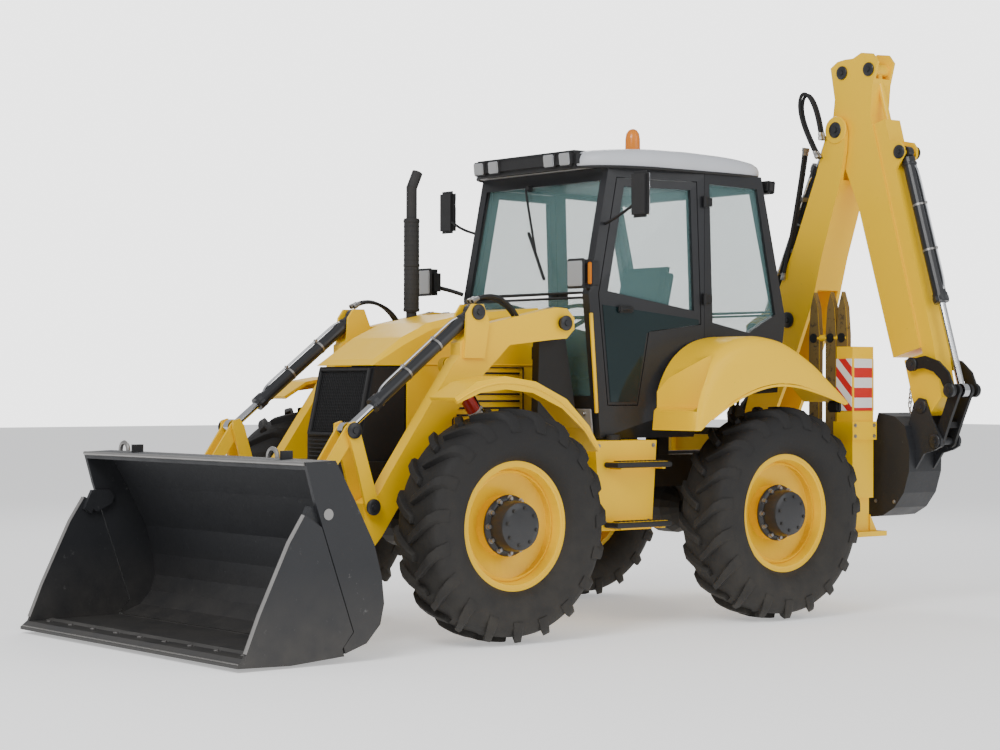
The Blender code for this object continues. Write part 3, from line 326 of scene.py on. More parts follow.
def turned(profile, start, direction, sides=24):
    """A closed turned shape from (distance along, radius) pairs, a ring if none is on the axis."""
    work = bmesh.new()
    rings = []
    for along, radius in profile:
        if radius < 1e-5:
            rings.append([work.verts.new((0, 0, along))])
        else:
            rings.append([work.verts.new((radius * math.cos(k * math.tau / sides),
                radius * math.sin(k * math.tau / sides), along))
                for k in range(sides)])
    for first, second in zip(rings, rings[1:] + rings[:1]):
        if len(first) == len(second) == 1:
            continue
        for k in range(sides):
            a, b = first[k % len(first)], first[(k + 1) % len(first)]
            c, d = second[(k + 1) % len(second)], second[k % len(second)]
            loop = list(dict.fromkeys((a, b, c, d)))
            if len(loop) > 2:
                work.faces.new(loop)
    way = Vector(direction).to_track_quat("Z", "Y").to_matrix().to_4x4()
    work.transform(Matrix.Translation(start) @ way)
    return to_mesh(work)


def tube(points, radius, sides=10, smooth=True):
    """A round tube along points, as a smooth curve or with straight runs."""
    curve = bpy.data.curves.new("path", "CURVE")
    curve.dimensions = "3D"
    curve.bevel_depth = radius
    curve.bevel_resolution = max(1, (sides - 4) // 2)
    curve.use_fill_caps = True
    if smooth:
        spline = curve.splines.new("NURBS")
        spline.points.add(len(points) - 1)
        for spot, p in zip(spline.points, points):
            spot.co = (*p, 1)
        spline.order_u = 4
        spline.use_endpoint_u = True
        curve.resolution_u = 6
        curve.render_resolution_u = 6
    else:
        spline = curve.splines.new("POLY")
        spline.points.add(len(points) - 1)
        for spot, p in zip(spline.points, points):
            spot.co = (*p, 1)
    holder = bpy.data.objects.new("path", curve)
    bpy.context.scene.collection.objects.link(holder)
    bpy.context.view_layer.update()
    mesh = bpy.data.meshes.new_from_object(holder.evaluated_get(bpy.context.evaluated_depsgraph_get()))
    bpy.data.objects.remove(holder)
    return mesh


def joined(meshes):
    """One mesh from several; the several are used up."""
    work = bmesh.new()
    for mesh in meshes:
        work.from_mesh(mesh)
        bpy.data.meshes.remove(mesh)
    mesh = bpy.data.meshes.new("joined")
    work.to_mesh(mesh)
    work.free()
    return mesh


def block(low, high, edge=0.006, steps=2):
    """A soft block between two corners given as at() takes them."""
    return soft_block(tuple(at(*low)), tuple(at(*high)), edge, steps)


SIDES = ((1, "left"), (-1, "right"))
AXLES = ((0.0, "front"), (wheelbase, "rear"))
print("makers ready")

# %% [markdown]
# ## Geometry Nodes that repeat a shape
# Lugs, studs, bolts and links repeat. One tree turns copies about an axle, and the other puts a
# shape on every point of a list, pointing along that point's own direction. Both end in real
# geometry, which then becomes a plain mesh.

# %% Two repeating trees
def group(name, sockets):
    tree = bpy.data.node_groups.new(name, "GeometryNodeTree")
    tree.interface.new_socket("Geometry", in_out="INPUT", socket_type="NodeSocketGeometry")
    for label, kind in sockets:
        tree.interface.new_socket(label, in_out="INPUT", socket_type=kind)
    tree.interface.new_socket("Geometry", in_out="OUTPUT", socket_type="NodeSocketGeometry")
    return tree, tree.nodes.new("NodeGroupInput"), tree.nodes.new("NodeGroupOutput")


def close_tree(tree, geometry, entry, leave):
    real = tree.nodes.new("GeometryNodeRealizeInstances")
    dress = tree.nodes.new("GeometryNodeSetMaterial")
    tree.links.new(geometry, real.inputs[0])
    tree.links.new(real.outputs[0], dress.inputs["Geometry"])
    tree.links.new(entry.outputs["Finish"], dress.inputs["Material"])
    tree.links.new(dress.outputs[0], leave.inputs[0])


around, entry, leave = group("copies_about_an_axle",
    (("Copies", "NodeSocketInt"), ("Finish", "NodeSocketMaterial")))
spots = around.nodes.new("GeometryNodePoints")
number = around.nodes.new("GeometryNodeInputIndex")
share = around.nodes.new("ShaderNodeMath")
share.operation = "DIVIDE"
angle = around.nodes.new("ShaderNodeMath")
angle.operation = "MULTIPLY"
angle.inputs[1].default_value = math.tau
pack = around.nodes.new("ShaderNodeCombineXYZ")
copies = around.nodes.new("GeometryNodeInstanceOnPoints")
link = around.links.new
link(entry.outputs["Copies"], spots.inputs["Count"])
link(number.outputs[0], share.inputs[0])
link(entry.outputs["Copies"], share.inputs[1])
link(share.outputs[0], angle.inputs[0])
link(angle.outputs[0], pack.inputs["X"])
link(spots.outputs[0], copies.inputs["Points"])
link(entry.outputs["Geometry"], copies.inputs["Instance"])
link(pack.outputs[0], copies.inputs["Rotation"])
close_tree(around, copies.outputs[0], entry, leave)

onto, entry, leave = group("shape_on_points", (("Shape", "NodeSocketObject"), ("Finish", "NodeSocketMaterial")))
shape = onto.nodes.new("GeometryNodeObjectInfo")
facing = onto.nodes.new("GeometryNodeInputNamedAttribute")
facing.data_type = "FLOAT_VECTOR"
facing.inputs["Name"].default_value = "facing"
aim = onto.nodes.new("FunctionNodeAlignRotationToVector")
aim.axis = "Z"
copies = onto.nodes.new("GeometryNodeInstanceOnPoints")
link = onto.links.new
link(entry.outputs["Shape"], shape.inputs["Object"])
link(facing.outputs["Attribute"], aim.inputs["Vector"])
link(entry.outputs["Geometry"], copies.inputs["Points"])
link(shape.outputs["Geometry"], copies.inputs["Instance"])
link(aim.outputs["Rotation"], copies.inputs["Rotation"])
close_tree(onto, copies.outputs[0], entry, leave)


def run_tree(mesh, tree, values):
    """Runs a tree on a mesh and gives the plain mesh it makes."""
    holder = bpy.data.objects.new("holder", mesh)
    bpy.context.scene.collection.objects.link(holder)
    step = holder.modifiers.new("repeat", "NODES")
    step.node_group = tree
    for item in tree.interface.items_tree:
        if item.in_out == "INPUT" and item.name in values:
            step[item.identifier] = values[item.name]
    bpy.context.view_layer.update()
    made = bpy.data.meshes.new_from_object(holder.evaluated_get(bpy.context.evaluated_depsgraph_get()))
    bpy.data.objects.remove(holder)
    return made


def bolt_shape(name, radius, height, sides=6, washer=True):
    parts = [turned([(0, 0), (0, radius), (height * 0.85, radius), (height, radius * 0.82), (height, 0)],
        (0, 0, 0), (0, 0, 1), sides)]
    if washer:
        parts.append(turned([(0, 0), (0, radius * 1.45), (height * 0.25, radius * 1.45), (height * 0.25, 0)],
            (0, 0, 0), (0, 0, 1), 16))
    shape = bpy.data.objects.new(name, joined(parts))
    return shape


def on_points(spots, shape, finish, name, body):
    """Puts a shape at each (point, direction) and makes one piece of them."""
    mesh = bpy.data.meshes.new("spots")
    mesh.from_pydata([p for p, _ in spots], [], [])
    facing = mesh.attributes.new("facing", "FLOAT_VECTOR", "POINT")
    for item, (_, way) in zip(facing.data, spots):
        item.vector = way
    return finished(name, run_tree(mesh, onto, {"Shape": shape, "Finish": finish}), finish, body)


small_bolt = bolt_shape("small_bolt", 0.009, 0.010)
plough_bolt = bolt_shape("plough_bolt", 0.016, 0.012, sides=8)
wheel_stud = bolt_shape("wheel_stud", 0.013, 0.022)
pin_head = bpy.data.objects.new("pin_head", turned(
    [(0, 0), (0, 0.046), (0.010, 0.046), (0.013, 0.042), (0.013, 0.018), (0.020, 0.016), (0.020, 0)], (0, 0, 0),
    (0, 0, 1), 24))
print("trees:", [tree.name for tree in bpy.data.node_groups])

# %% [markdown]
# ## Tyres
# Each tyre is a rounded casing with two rows of deep lugs that meet in a chevron. The casing is
# turned from a profile. One lug is bent over the shoulder, and the tree copies it around the axle.

# %% Tyre casing and lugs
tyre_low, tyre_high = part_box("front_left_tyre")
TYRE_R = (tyre_high[2] - tyre_low[2]) / 2
TYRE_HALF = (tyre_high[0] - tyre_low[0]) / 2
LUGS = 19
casing_profile = [(-0.105, 0.362), (-0.125, 0.372), (-0.165, 0.40), (-0.190, 0.45), (-0.198, 0.51),
    (-0.190, 0.565), (-0.172, 0.603),
    (-0.140, 0.622), (-0.08, 0.630), (0.0, 0.633), (0.08, 0.630), (0.140, 0.622), (0.172, 0.603),
    (0.190, 0.565),
    (0.198, 0.51), (0.190, 0.45), (0.165, 0.40), (0.125, 0.372), (0.105, 0.362)]


def casing(sides=96):
    work = bmesh.new()
    rings = []
    for x, r in casing_profile:
        rings.append([work.verts.new((x, r * math.sin(k * math.tau / sides),
            r * math.cos(k * math.tau / sides))) for k in range(sides)])
    for first, second in zip(rings, rings[1:] + rings[:1]):
        for k in range(sides):
            work.faces.new((first[k], first[(k + 1) % sides], second[(k + 1) % sides], second[k]))
    return to_mesh(work)


def lug(side):
    """One lug: it starts past the centre line, runs out at a slant and drops over the shoulder."""
    work = bmesh.new()
    rows = ((-0.012, 0.618, 0.664, 0.00, 0.046), (0.05, 0.618, 0.666, 0.05, 0.050),
        (0.10, 0.612, 0.664, 0.10, 0.054),
        (0.150, 0.600, 0.654, 0.155, 0.060), (0.184, 0.570, 0.622, 0.19, 0.064),
        (0.199, 0.535, 0.566, 0.205, 0.060))
    rings = []
    for x, low, high, lead, width in rows:
        ring = []
        for r, grow in ((low, 1.25), (high, 0.86)):
            for way in ((-1, 1) if r == low else (1, -1)):
                turn = lead * 1.15 + way * width * grow / 2 / r
                ring.append(work.verts.new((side * x, r * math.sin(turn), r * math.cos(turn))))
        rings.append(ring)
    for first, second in zip(rings, rings[1:]):
        for k in range(4):
            work.faces.new((first[k], first[(k + 1) % 4], second[(k + 1) % 4], second[k]))
    work.faces.new(rings[0])
    work.faces.new(rings[-1])
    bmesh.ops.recalc_face_normals(work, faces=work.faces)
    bmesh.ops.bevel(work, geom=[e for e in work.edges if e.calc_face_angle(0) > 0.9], offset=0.003, segments=1,
        affect="EDGES")
    return to_mesh(work)


def half_step(mesh):
    mesh.transform(Matrix.Rotation(math.pi / LUGS, 4, "X"))
    return mesh


for axle_y, axle in AXLES:
    for side, word in SIDES:
        name = f"{axle}_{word}"
        rows = run_tree(joined([lug(side), half_step(lug(-side))]), around,
            {"Copies": LUGS, "Finish": tyre_rubber})
        whole = joined([casing(), rows])
        whole.transform(Matrix.Translation(middle(f"{name}_tyre")))
        tyre = finished(f"{name}_treaded_tyre", whole, tyre_rubber, f"{name}_wheel", 35)
        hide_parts(f"{name}_tyre")
print("tyre radius", round(TYRE_R, 3), "half width", round(TYRE_HALF, 3), "lugs per row", LUGS)

# %% [markdown]
# ## Wheels
# The rims are yellow dishes with a dark planetary hub in the middle. Studs ring the hub, and a
# second ring of bolts holds the dish.

# %% Hubs, studs and rim beads
for axle_y, axle in AXLES:
    for side, word in SIDES:
        name = f"{axle}_{word}"
        centre = middle(f"{name}_rim")
        low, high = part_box(f"{name}_rim")
        face = (high[0] if side > 0 else low[0])
        hub_start = Vector((face - side * 0.125, centre.y, centre.z))
        out = (side, 0, 0)
        hub = turned([(0, 0), (0, 0.172), (0.012, 0.176), (0.022, 0.170), (0.030, 0.148), (0.100, 0.142),
            (0.122, 0.134), (0.130, 0.118),
            (0.134, 0.09), (0.134, 0)], hub_start, out, 40)
        finished(f"{name}_hub_cover", hub, paint_barrel, f"{name}_wheel")
        ring = [(hub_start + Vector((side * 0.022, 0.155 * math.sin(k * math.tau / 12),
            0.155 * math.cos(k * math.tau / 12))), out)
            for k in range(12)]
        on_points(ring, wheel_stud, worn_steel, f"{name}_studs", f"{name}_wheel")
        cover = [(hub_start + Vector((side * 0.130, 0.105 * math.sin(k * math.tau / 8 + 0.2),
            0.105 * math.cos(k * math.tau / 8 + 0.2))), out)
            for k in range(8)]
        on_points(cover, small_bolt, paint_black, f"{name}_hub_bolts", f"{name}_wheel")
        bead = turned([(0, 0.352), (0.004, 0.384), (0.012, 0.388), (0.018, 0.384), (0.016, 0.352)],
            Vector((face - side * 0.068, centre.y, centre.z)), out, 64)
        inner = turned([(0, 0.300), (0.006, 0.312), (0.012, 0.300)],
            Vector((face - side * 0.110, centre.y, centre.z)), out, 64)
        finished(f"{name}_rim_bead", joined([bead, inner]), paint_yellow, f"{name}_wheel")
print("hubs and studs on four wheels")

# %% [markdown]
# ## Cab glass
# Each pane is a thin plate, a little larger than its opening and set inside the wall, as a pane sits
# on its rubber. The doors carry their own glass, so it swings with them.

# %% Glass panes and their rubber seals
def front_y(z):
    """How far forward the cab's side reaches at a height."""
    return 1.03 - (z - 1.14) * 0.108 if z < 2.02 else 0.935 + (z - 2.02) * 0.205


def side_x(y, z):
    start = front_y(z)
    return 0.62 + 0.10 * min(max((y - start) / (1.83 - start), 0), 1)


def pane(name, points, body, thick=0.006, seal=0.011):
    finished(name, plate(points, thick), cab_glass, body)
    finished(f"{name}_seal", tube(points + points[:1], seal, 8, smooth=False), trim_plastic, body)


for side, word in SIDES:
    upper = [(1.06, 2.02), (1.745, 1.915), (1.715, 2.70), (1.19, 2.70)]
    lower = [(1.12, 1.385), (1.275, 1.385), (1.34, 1.85), (1.04, 1.925)]
    for label, loop in (("upper", upper), ("lower", lower)):
        points = [at(side * (side_x(y, z) - 0.022), y, z) for y, z in loop]
        pane(f"{word}_door_{label}_glass", points, f"{word}_door")
    low_tint = [(1.10, 1.362), (1.292, 1.362), (1.365, 1.785), (1.40, 1.80), (1.765, 1.845), (1.762, 1.875),
        (1.035, 1.955)]
    tint = plate([at(side * (side_x(y, z) + 0.0035), y, z) for y, z in low_tint], 0.003)
    finished(f"{word}_door_tinted_panel", tint, deep_tint, f"{word}_door")
    quarter = [(1.872, 1.85), (2.20, 1.79), (2.45, 1.91), (2.28, 2.73), (1.84, 2.74)]
    pane(f"{word}_quarter_glass", [at(side * 0.697, y, z) for y, z in quarter], "frame")
pane("windscreen_glass", [at(x, front_y(z) + 0.024, z)
    for x, z in ((-0.57, 2.03), (0.57, 2.03), (0.555, 2.735), (-0.555, 2.735))], "frame")
pane("lower_front_glass", [at(x, front_y(z) + 0.024, z)
    for x, z in ((-0.57, 1.39), (0.57, 1.39), (0.57, 2.0), (-0.57, 2.0))], "frame")
pane("rear_upper_glass", [at(x, y, z) for x, y, z in ((-0.65, 2.475, 1.94), (0.65, 2.475, 1.94),
    (0.65, 2.31, 2.71), (-0.65, 2.31, 2.71))], "frame")
pane("rear_lower_glass", [at(x, y, z) for x, y, z in ((-0.65, 2.455, 1.61), (0.65, 2.455, 1.61),
    (0.65, 2.475, 1.92), (-0.65, 2.475, 1.92))], "frame")
print("ten panes")

# %% [markdown]
# ## Rear fenders and roof
# The plain solids are angular here, so smoother pieces stand for them. The fender is a pressed sheet
# with a wide rounded shoulder. A closed recess in its front corner lets the door's lower edge swing
# past. The roof is a stack of rounded outlines, and a dark visor at its front carries the lamps.

# %% Rear fenders
def smooth_line(points, count):
    """Even samples of a curve through some (Y, Z) points."""
    spots = [Vector((p[0], p[1], 0)) for p in points]
    spots = [spots[0] * 2 - spots[1]] + spots + [spots[-1] * 2 - spots[-2]]
    fine = []
    for a, b, c, d in zip(spots, spots[1:], spots[2:], spots[3:]):
        for k in range(12):
            t = k / 12
            fine.append(0.5 * (2 * b + (c - a) * t + (2 * a - 5 * b + 4 * c - d) * t * t
                + (3 * b - a - 3 * c + d) * t ** 3))
    fine.append(spots[-2])
    lengths = [0]
    for a, b in zip(fine, fine[1:]):
        lengths.append(lengths[-1] + (b - a).length)
    out, j = [], 0
    for k in range(count):
        want = lengths[-1] * k / (count - 1)
        while j < len(fine) - 2 and lengths[j + 1] < want:
            j += 1
        share = (want - lengths[j]) / max(lengths[j + 1] - lengths[j], 1e-9)
        out.append(fine[j].lerp(fine[j + 1], min(share, 1)))
    return out


def sheet(rows, thick):
    """A shell through rows of points."""
    work = bmesh.new()
    grid = [[work.verts.new(p) for p in row] for row in rows]
    for i in range(len(rows) - 1):
        for j in range(len(rows[0]) - 1):
            work.faces.new((grid[i][j], grid[i][j + 1], grid[i + 1][j + 1], grid[i + 1][j]))
    bmesh.ops.remove_doubles(work, verts=work.verts[:], dist=1e-5)
    bmesh.ops.recalc_face_normals(work, faces=work.faces[:])
    bmesh.ops.solidify(work, geom=work.faces[:], thickness=thick)
    bmesh.ops.recalc_face_normals(work, faces=work.faces[:])
    return to_mesh(work)


top_line = smooth_line([(1.362, 1.19), (1.385, 1.36), (1.44, 1.51), (1.54, 1.64), (1.70, 1.735), (1.92, 1.77),
    (2.15, 1.735),
    (2.38, 1.62), (2.57, 1.475), (2.70, 1.365)], 61)
arch_line = smooth_line([(1.40, 1.19), (1.50, 1.262), (1.68, 1.372), (1.92, 1.457), (2.16, 1.477),
    (2.40, 1.432), (2.685, 1.345)], 61)
across = [0.726, 0.80, 0.90, 1.02, 1.065, 1.095, 1.112, 1.119, 1.119, 1.119]
drop = [0, 0, 0, 0, 0.03, 0.10, 0.22, 0.45, 0.75, 1.0]
recess = [1.40, 1.43, 1.46, 1.52, 1.545]
low_rows = sum(1 for top in top_line if top.y < 1.33 and top.x < 2.0)


def top_height(y):
    """The height of the fender's top line at a distance along the machine."""
    return next(top.y for top in top_line if top.x >= y)


for side, word in SIDES:
    rows = []
    for i, (top, arch) in enumerate(zip(top_line, arch_line)):
        row = [at(side * x, top.x + (arch.x - top.x) * d, top.y + (arch.y - top.y) * d)
            for x, d in zip(across, drop)]
        if i == low_rows:
            rows.append([at(side * x, y, 1.328) for x, y in zip(across, recess)] + row[len(recess):])
        if i >= low_rows:
            row = [at(side * across[j], recess[j],
                top_height(recess[j])) if j < len(recess) and top.x < recess[j] else spot
                for j, spot in enumerate(row)]
        rows.append(row)
    piece = finished(f"{word}_pressed_fender", sheet(rows, 0.008), paint_yellow, "frame", smooth=50)
    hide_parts(f"rear_{word}_fender")
print("rear fenders:", len(top_line), "sections each")

# %% Roof shell and lamp visor
def roof_outline(inset, count=96):
    """Points (X, Y) of the rounded plan of the roof."""
    spots = []
    for k in range(count):
        a = k * math.tau / count
        c, s = math.cos(a), math.sin(a)
        x = abs(c) ** 0.32 * (1 if c >= 0 else -1)
        y = abs(s) ** 0.32 * (1 if s >= 0 else -1)
        y_now = 1.685 + y * (0.745 - inset)
        half_now = (0.735 - 0.10 * max(0, (1.35 - y_now) / 0.45)) - inset
        spots.append((x * half_now, y_now))
    return spots


def roof_rise(y):
    return 0.80 + 0.20 * math.sin(min(max((y - 0.94) / 0.7, 0), 1) * math.pi / 2) - 0.34 * max(0,
        (y - 1.6) / 0.83) ** 2


work = bmesh.new()
rings = []
for inset, height in ((0.05, 0.0), (0.010, 0.0), (0.0, 0.010), (0.0, 0.055), (0.008, 0.085), (0.028, 0.108),
    (0.065, 0.122), (0.16, 0.131), (0.36, 0.137)):
    rings.append([work.verts.new(at(x, y, 2.803 + height * (roof_rise(y) if height > 0.02 else 1)))
        for x, y in roof_outline(inset)])
for first, second in zip(rings, rings[1:]):
    for k in range(len(first)):
        work.faces.new((first[k], first[(k + 1) % len(first)], second[(k + 1) % len(first)], second[k]))
work.faces.new(rings[0])
work.faces.new(rings[-1])
bmesh.ops.recalc_face_normals(work, faces=work.faces[:])
roof = finished("moulded_roof", to_mesh(work), roof_shell, "frame", smooth=50)
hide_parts("cab_roof")
visor = block((-0.50, 0.915, 2.80), (0.50, 1.05, 2.905), 0.022, 4)
finished("lamp_visor", visor, trim_plastic, "frame")
finished("roof_seal", tube([at(x, y, 2.800) for x, y in roof_outline(0.006)] + [at(*roof_outline(0.006)[0],
    2.800)], 0.009, 8, smooth=False), trim_plastic, "frame")

# %% [markdown]
# ## Cab fittings
# Lamps, mirrors, handles, hinges, the beacon and the silver sill under the front glass give the cab
# its scale. A wiper crosses the windscreen. Each lamp is a housing, a rim and a lens, so one maker
# builds them all from a place, a direction and three half sizes.

# %% Lamps, mirrors and handles
def lamp(name, centre, direction, size, body, lens=lens_clear):
    """A shallow moulded housing with a rim and a lens."""
    way = Vector(direction).normalized()
    turn = way.to_track_quat("Y", "Z").to_matrix().to_4x4()
    w, h, d = size
    shell = soft_block((-w, -d, -h), (w, 0, h), min(w, h) * 0.35, 4)
    rim = soft_block((-w * 1.06, -0.012, -h * 1.06), (w * 1.06, 0.004, h * 1.06), min(w, h) * 0.3, 3)
    glass = soft_block((-w * 0.88, 0.0, -h * 0.88), (w * 0.88, 0.012, h * 0.88), min(w, h) * 0.28, 4)
    for mesh in (shell, rim, glass):
        mesh.transform(Matrix.Translation(centre) @ turn)
    finished(f"{name}_housing", joined([shell, rim]), trim_plastic, body)
    finished(f"{name}_lens", glass, lens, body)


for side, word in SIDES:
    lamp(f"{word}_headlight", at(side * 0.755, 0.715, 2.13), (0, -1, 0), (0.075, 0.085, 0.10), "frame")
    lamp(f"{word}_side_indicator", at(side * 0.85, 0.75, 2.13), (0, -1, 0), (0.018, 0.075, 0.06), "frame",
        lens_amber)
    finished(f"{word}_headlight_arm", tube([at(side * 0.62, 0.93, 2.05), at(side * 0.68, 0.88, 2.08),
        at(side * 0.74, 0.80, 2.10)], 0.014), paint_black, "frame")
    finished(f"{word}_mirror_arm", tube([at(side * 0.63, 1.06, 2.45), at(side * 0.78, 1.03, 2.48),
        at(side * 0.92, 1.05, 2.56)], 0.009), paint_black, "frame")
    shell = block((side * 0.95 - 0.075, 1.035, 2.47), (side * 0.95 + 0.075, 1.075, 2.75), 0.02, 4)
    finished(f"{word}_mirror", shell, trim_plastic, "frame")
    finished(f"{word}_mirror_glass", block((side * 0.95 - 0.064, 1.073, 2.485),
        (side * 0.95 + 0.064, 1.079, 2.735), 0.003, 1), bare_steel, "frame")
    for row, x in enumerate((0.425, 0.275)):
        lamp(f"{word}_roof_lamp_{row}", at(side * x, 0.910, 2.850), (0, -1, -0.1), (0.054, 0.042, 0.03),
            "frame")
    lamp(f"{word}_rear_lamp", at(side * 0.66, 2.435, 2.74), (0, 1, -0.1), (0.06, 0.04, 0.06), "frame")
    lamp(f"{word}_tail_light", at(side * 1.02, 2.68, 1.33), (0, 1, 0), (0.05, 0.035, 0.03), "frame", lens_red)
    handle_y, handle_z = 1.20, 1.93
    x = side_x(handle_y, handle_z)
    finished(f"{word}_door_handle", joined([
        block((side * (x + 0.012) - 0.012, handle_y - 0.06, handle_z - 0.022),
            (side * (x + 0.012) + 0.012, handle_y + 0.06, handle_z + 0.022), 0.008, 3),
        tube([at(side * (x + 0.01), handle_y - 0.05, handle_z),
            at(side * (x + 0.04), handle_y - 0.03, handle_z), at(side * (x + 0.04), handle_y + 0.03, handle_z),
            at(side * (x + 0.01), handle_y + 0.05, handle_z)], 0.007)]),
        trim_plastic, f"{word}_door")
    hinges = []
    for z in (1.97, 2.58):
        hinges.append(turned([(0, 0), (0, 0.014), (0.07, 0.014), (0.07, 0)], at(side * 0.734, 1.80, z),
            (0, 0, 1), 16))
        hinges.append(block((side * 0.728 - 0.007, 1.79, z + 0.008), (side * 0.728 + 0.007, 1.865, z + 0.062),
            0.003, 1))
    finished(f"{word}_door_hinges", joined(hinges), paint_black, "frame")
    rail = [at(side * 0.63, 0.99, 1.30), at(side * 0.665, 0.955, 1.40), at(side * 0.665, 0.925, 1.75),
        at(side * 0.63, 0.945, 1.90)]
    finished(f"{word}_grab_rail", tube(rail, 0.012), paint_yellow, "frame")
beacon = turned([(0, 0), (0, 0.055), (0.02, 0.055), (0.025, 0.048), (0.03, 0.048), (0.03, 0)],
    at(0.50, 1.40, 2.90), (0, 0, 1), 32)
finished("beacon_base", joined([beacon, turned([(0, 0), (0, 0.012), (0.09, 0.012), (0.09, 0)],
    at(0.50, 1.40, 2.83), (0, 0, 1), 12)]), trim_plastic, "frame")
dome = [(0, 0), (0, 0.047), (0.07, 0.046), (0.105, 0.040), (0.125, 0.026), (0.133, 0.010), (0.134, 0)]
finished("beacon_dome", turned(dome, at(0.50, 1.40, 2.93), (0, 0, 1), 40), lens_amber, "frame")
print("lamps, mirrors, handles and beacon")

# %% Sill plate and wiper
sill = plate([at(x, y, z) for x, y, z in ((-0.58, 1.008, 1.15), (0.58, 1.008, 1.15), (0.58, 0.99, 1.32),
    (-0.58, 0.99, 1.32))], 0.012, 0.004)
finished("front_sill_plate", sill, sill_steel, "frame")
on_points([(at(x, 0.985 + (1.30 - z) * 0.1, z), (0, -1, 0)) for x in (-0.52, -0.26, 0, 0.26, 0.52)
    for z in (1.18, 1.29)],
    small_bolt, worn_steel, "sill_bolts", "frame")
finished("windscreen_wiper", joined([
    tube([at(-0.10, 1.03, 2.70), at(-0.02, 0.99, 2.55), at(0.10, 0.945, 2.30)], 0.008),
    tube([at(0.02, 0.955, 2.42), at(0.22, 0.915, 2.12)], 0.010, smooth=False),
    turned([(0, 0), (0, 0.022), (0.03, 0.018), (0.03, 0)], at(-0.10, 1.07, 2.71), (0, -1, 0), 16)]),
    trim_plastic, "frame")
print("sill and wiper fitted")

# %% [markdown]
# ## Driver's place
# The seat is two padded shapes on a pedestal, and the console carries a wheel and levers. They
# stand for the plain solid that the working model keeps for them.

# %% Seat, console and steering wheel
def cushion(low, high, turn=None):
    """A soft block whose faces swell a little, as a filled cushion does."""
    mesh = soft_block(low, high, 0.045, 4, turn)
    work = bmesh.new()
    work.from_mesh(mesh)
    bmesh.ops.subdivide_edges(work, edges=work.edges[:], cuts=1, use_grid_fill=True)
    centre = Vector([(a + b) / 2 for a, b in zip(low, high)])
    for vert in work.verts:
        vert.co += (vert.co - centre).normalized() * 0.004
    work.to_mesh(mesh)
    work.free()
    return mesh


lean = Matrix.Rotation(math.radians(-14), 4, "X")
seat = finished("seat_cushion", cushion(tuple(at(-0.25, 1.44, 1.53)), tuple(at(0.25, 1.90, 1.65))), seat_cloth,
    "frame")
back = finished("seat_backrest", cushion(tuple(at(-0.23, 1.87, 1.62)), tuple(at(0.23, 1.98, 2.24)), lean),
    seat_cloth, "frame")
base = finished("driver_controls", joined([
    block((-0.18, 1.50, 1.19), (0.18, 1.78, 1.53), 0.03, 3),
    block((-0.13, 1.12, 1.19), (0.13, 1.26, 1.70), 0.03, 3),
    tube([at(0, 1.17, 1.66), at(0, 1.24, 1.78), at(0, 1.295, 1.89)], 0.03),
    tube([at(0.19 * math.cos(a), 1.295 + 0.09 * math.sin(a), 1.893 + 0.165 * math.sin(a) * 0.5)
        for a in [k * math.tau / 24 for k in range(25)]], 0.014, 8),
    tube([at(-0.18, 1.295, 1.893), at(0.18, 1.295, 1.893)], 0.012, smooth=False),
    tube([at(0.40, 1.45, 1.20), at(0.40, 1.42, 1.60), at(0.38, 1.40, 1.78)], 0.012),
    tube([at(-0.40, 1.45, 1.20), at(-0.40, 1.42, 1.60), at(-0.38, 1.40, 1.78)], 0.012)]), trim_plastic, "frame")
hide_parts("operator_station")
print("driver's place")

# %% [markdown]
# ## Grille, hood and exhaust
# The radiator face is a mesh of fine bars in a moulded surround. The hood's sides have slatted
# vents, and the silencer is wrapped in a perforated guard, drawn here as rings of small dark slots.

# %% Radiator grille and surround
low_edge, high_edge = (-0.505, 1.17), (-0.415, 1.572)
slope = Vector((0, high_edge[0] - low_edge[0], high_edge[1] - low_edge[1])).normalized()
outward = Vector((0, -slope.z, slope.y))


def on_face(x, up, out=0.0):
    """A point on the sloping grille: across, up the slope and out from it."""
    return at(x, low_edge[0], low_edge[1]) + slope * up + outward * out


bars = [tube([on_face(-0.235, 0.02 + k * 0.0185, 0.004), on_face(0.235, 0.02 + k * 0.0185, 0.004)], 0.0028, 6,
    smooth=False) for k in range(20)]
bars += [tube([on_face(-0.235 + k * 0.0188, 0.02, 0.006), on_face(-0.235 + k * 0.0188, 0.372, 0.006)], 0.0028,
    6, smooth=False) for k in range(26)]
finished("radiator_mesh", joined(bars), paint_black, "frame")
surround = [on_face(x, up, 0.006) for x, up in ((-0.25, 0.0), (0.25, 0.0), (0.25, 0.39), (-0.25, 0.39))]
finished("radiator_surround", tube(surround + surround[:1], 0.017, 10, smooth=False), trim_plastic, "frame")
lower = [at(x, -0.512, 1.04 + k * 0.024) for k in range(5) for x in (-0.25, 0.25)]
finished("lower_air_slats", joined([tube(lower[2 * k:2 * k + 2], 0.007, 6, smooth=False) for k in range(5)]),
    trim_plastic, "frame")

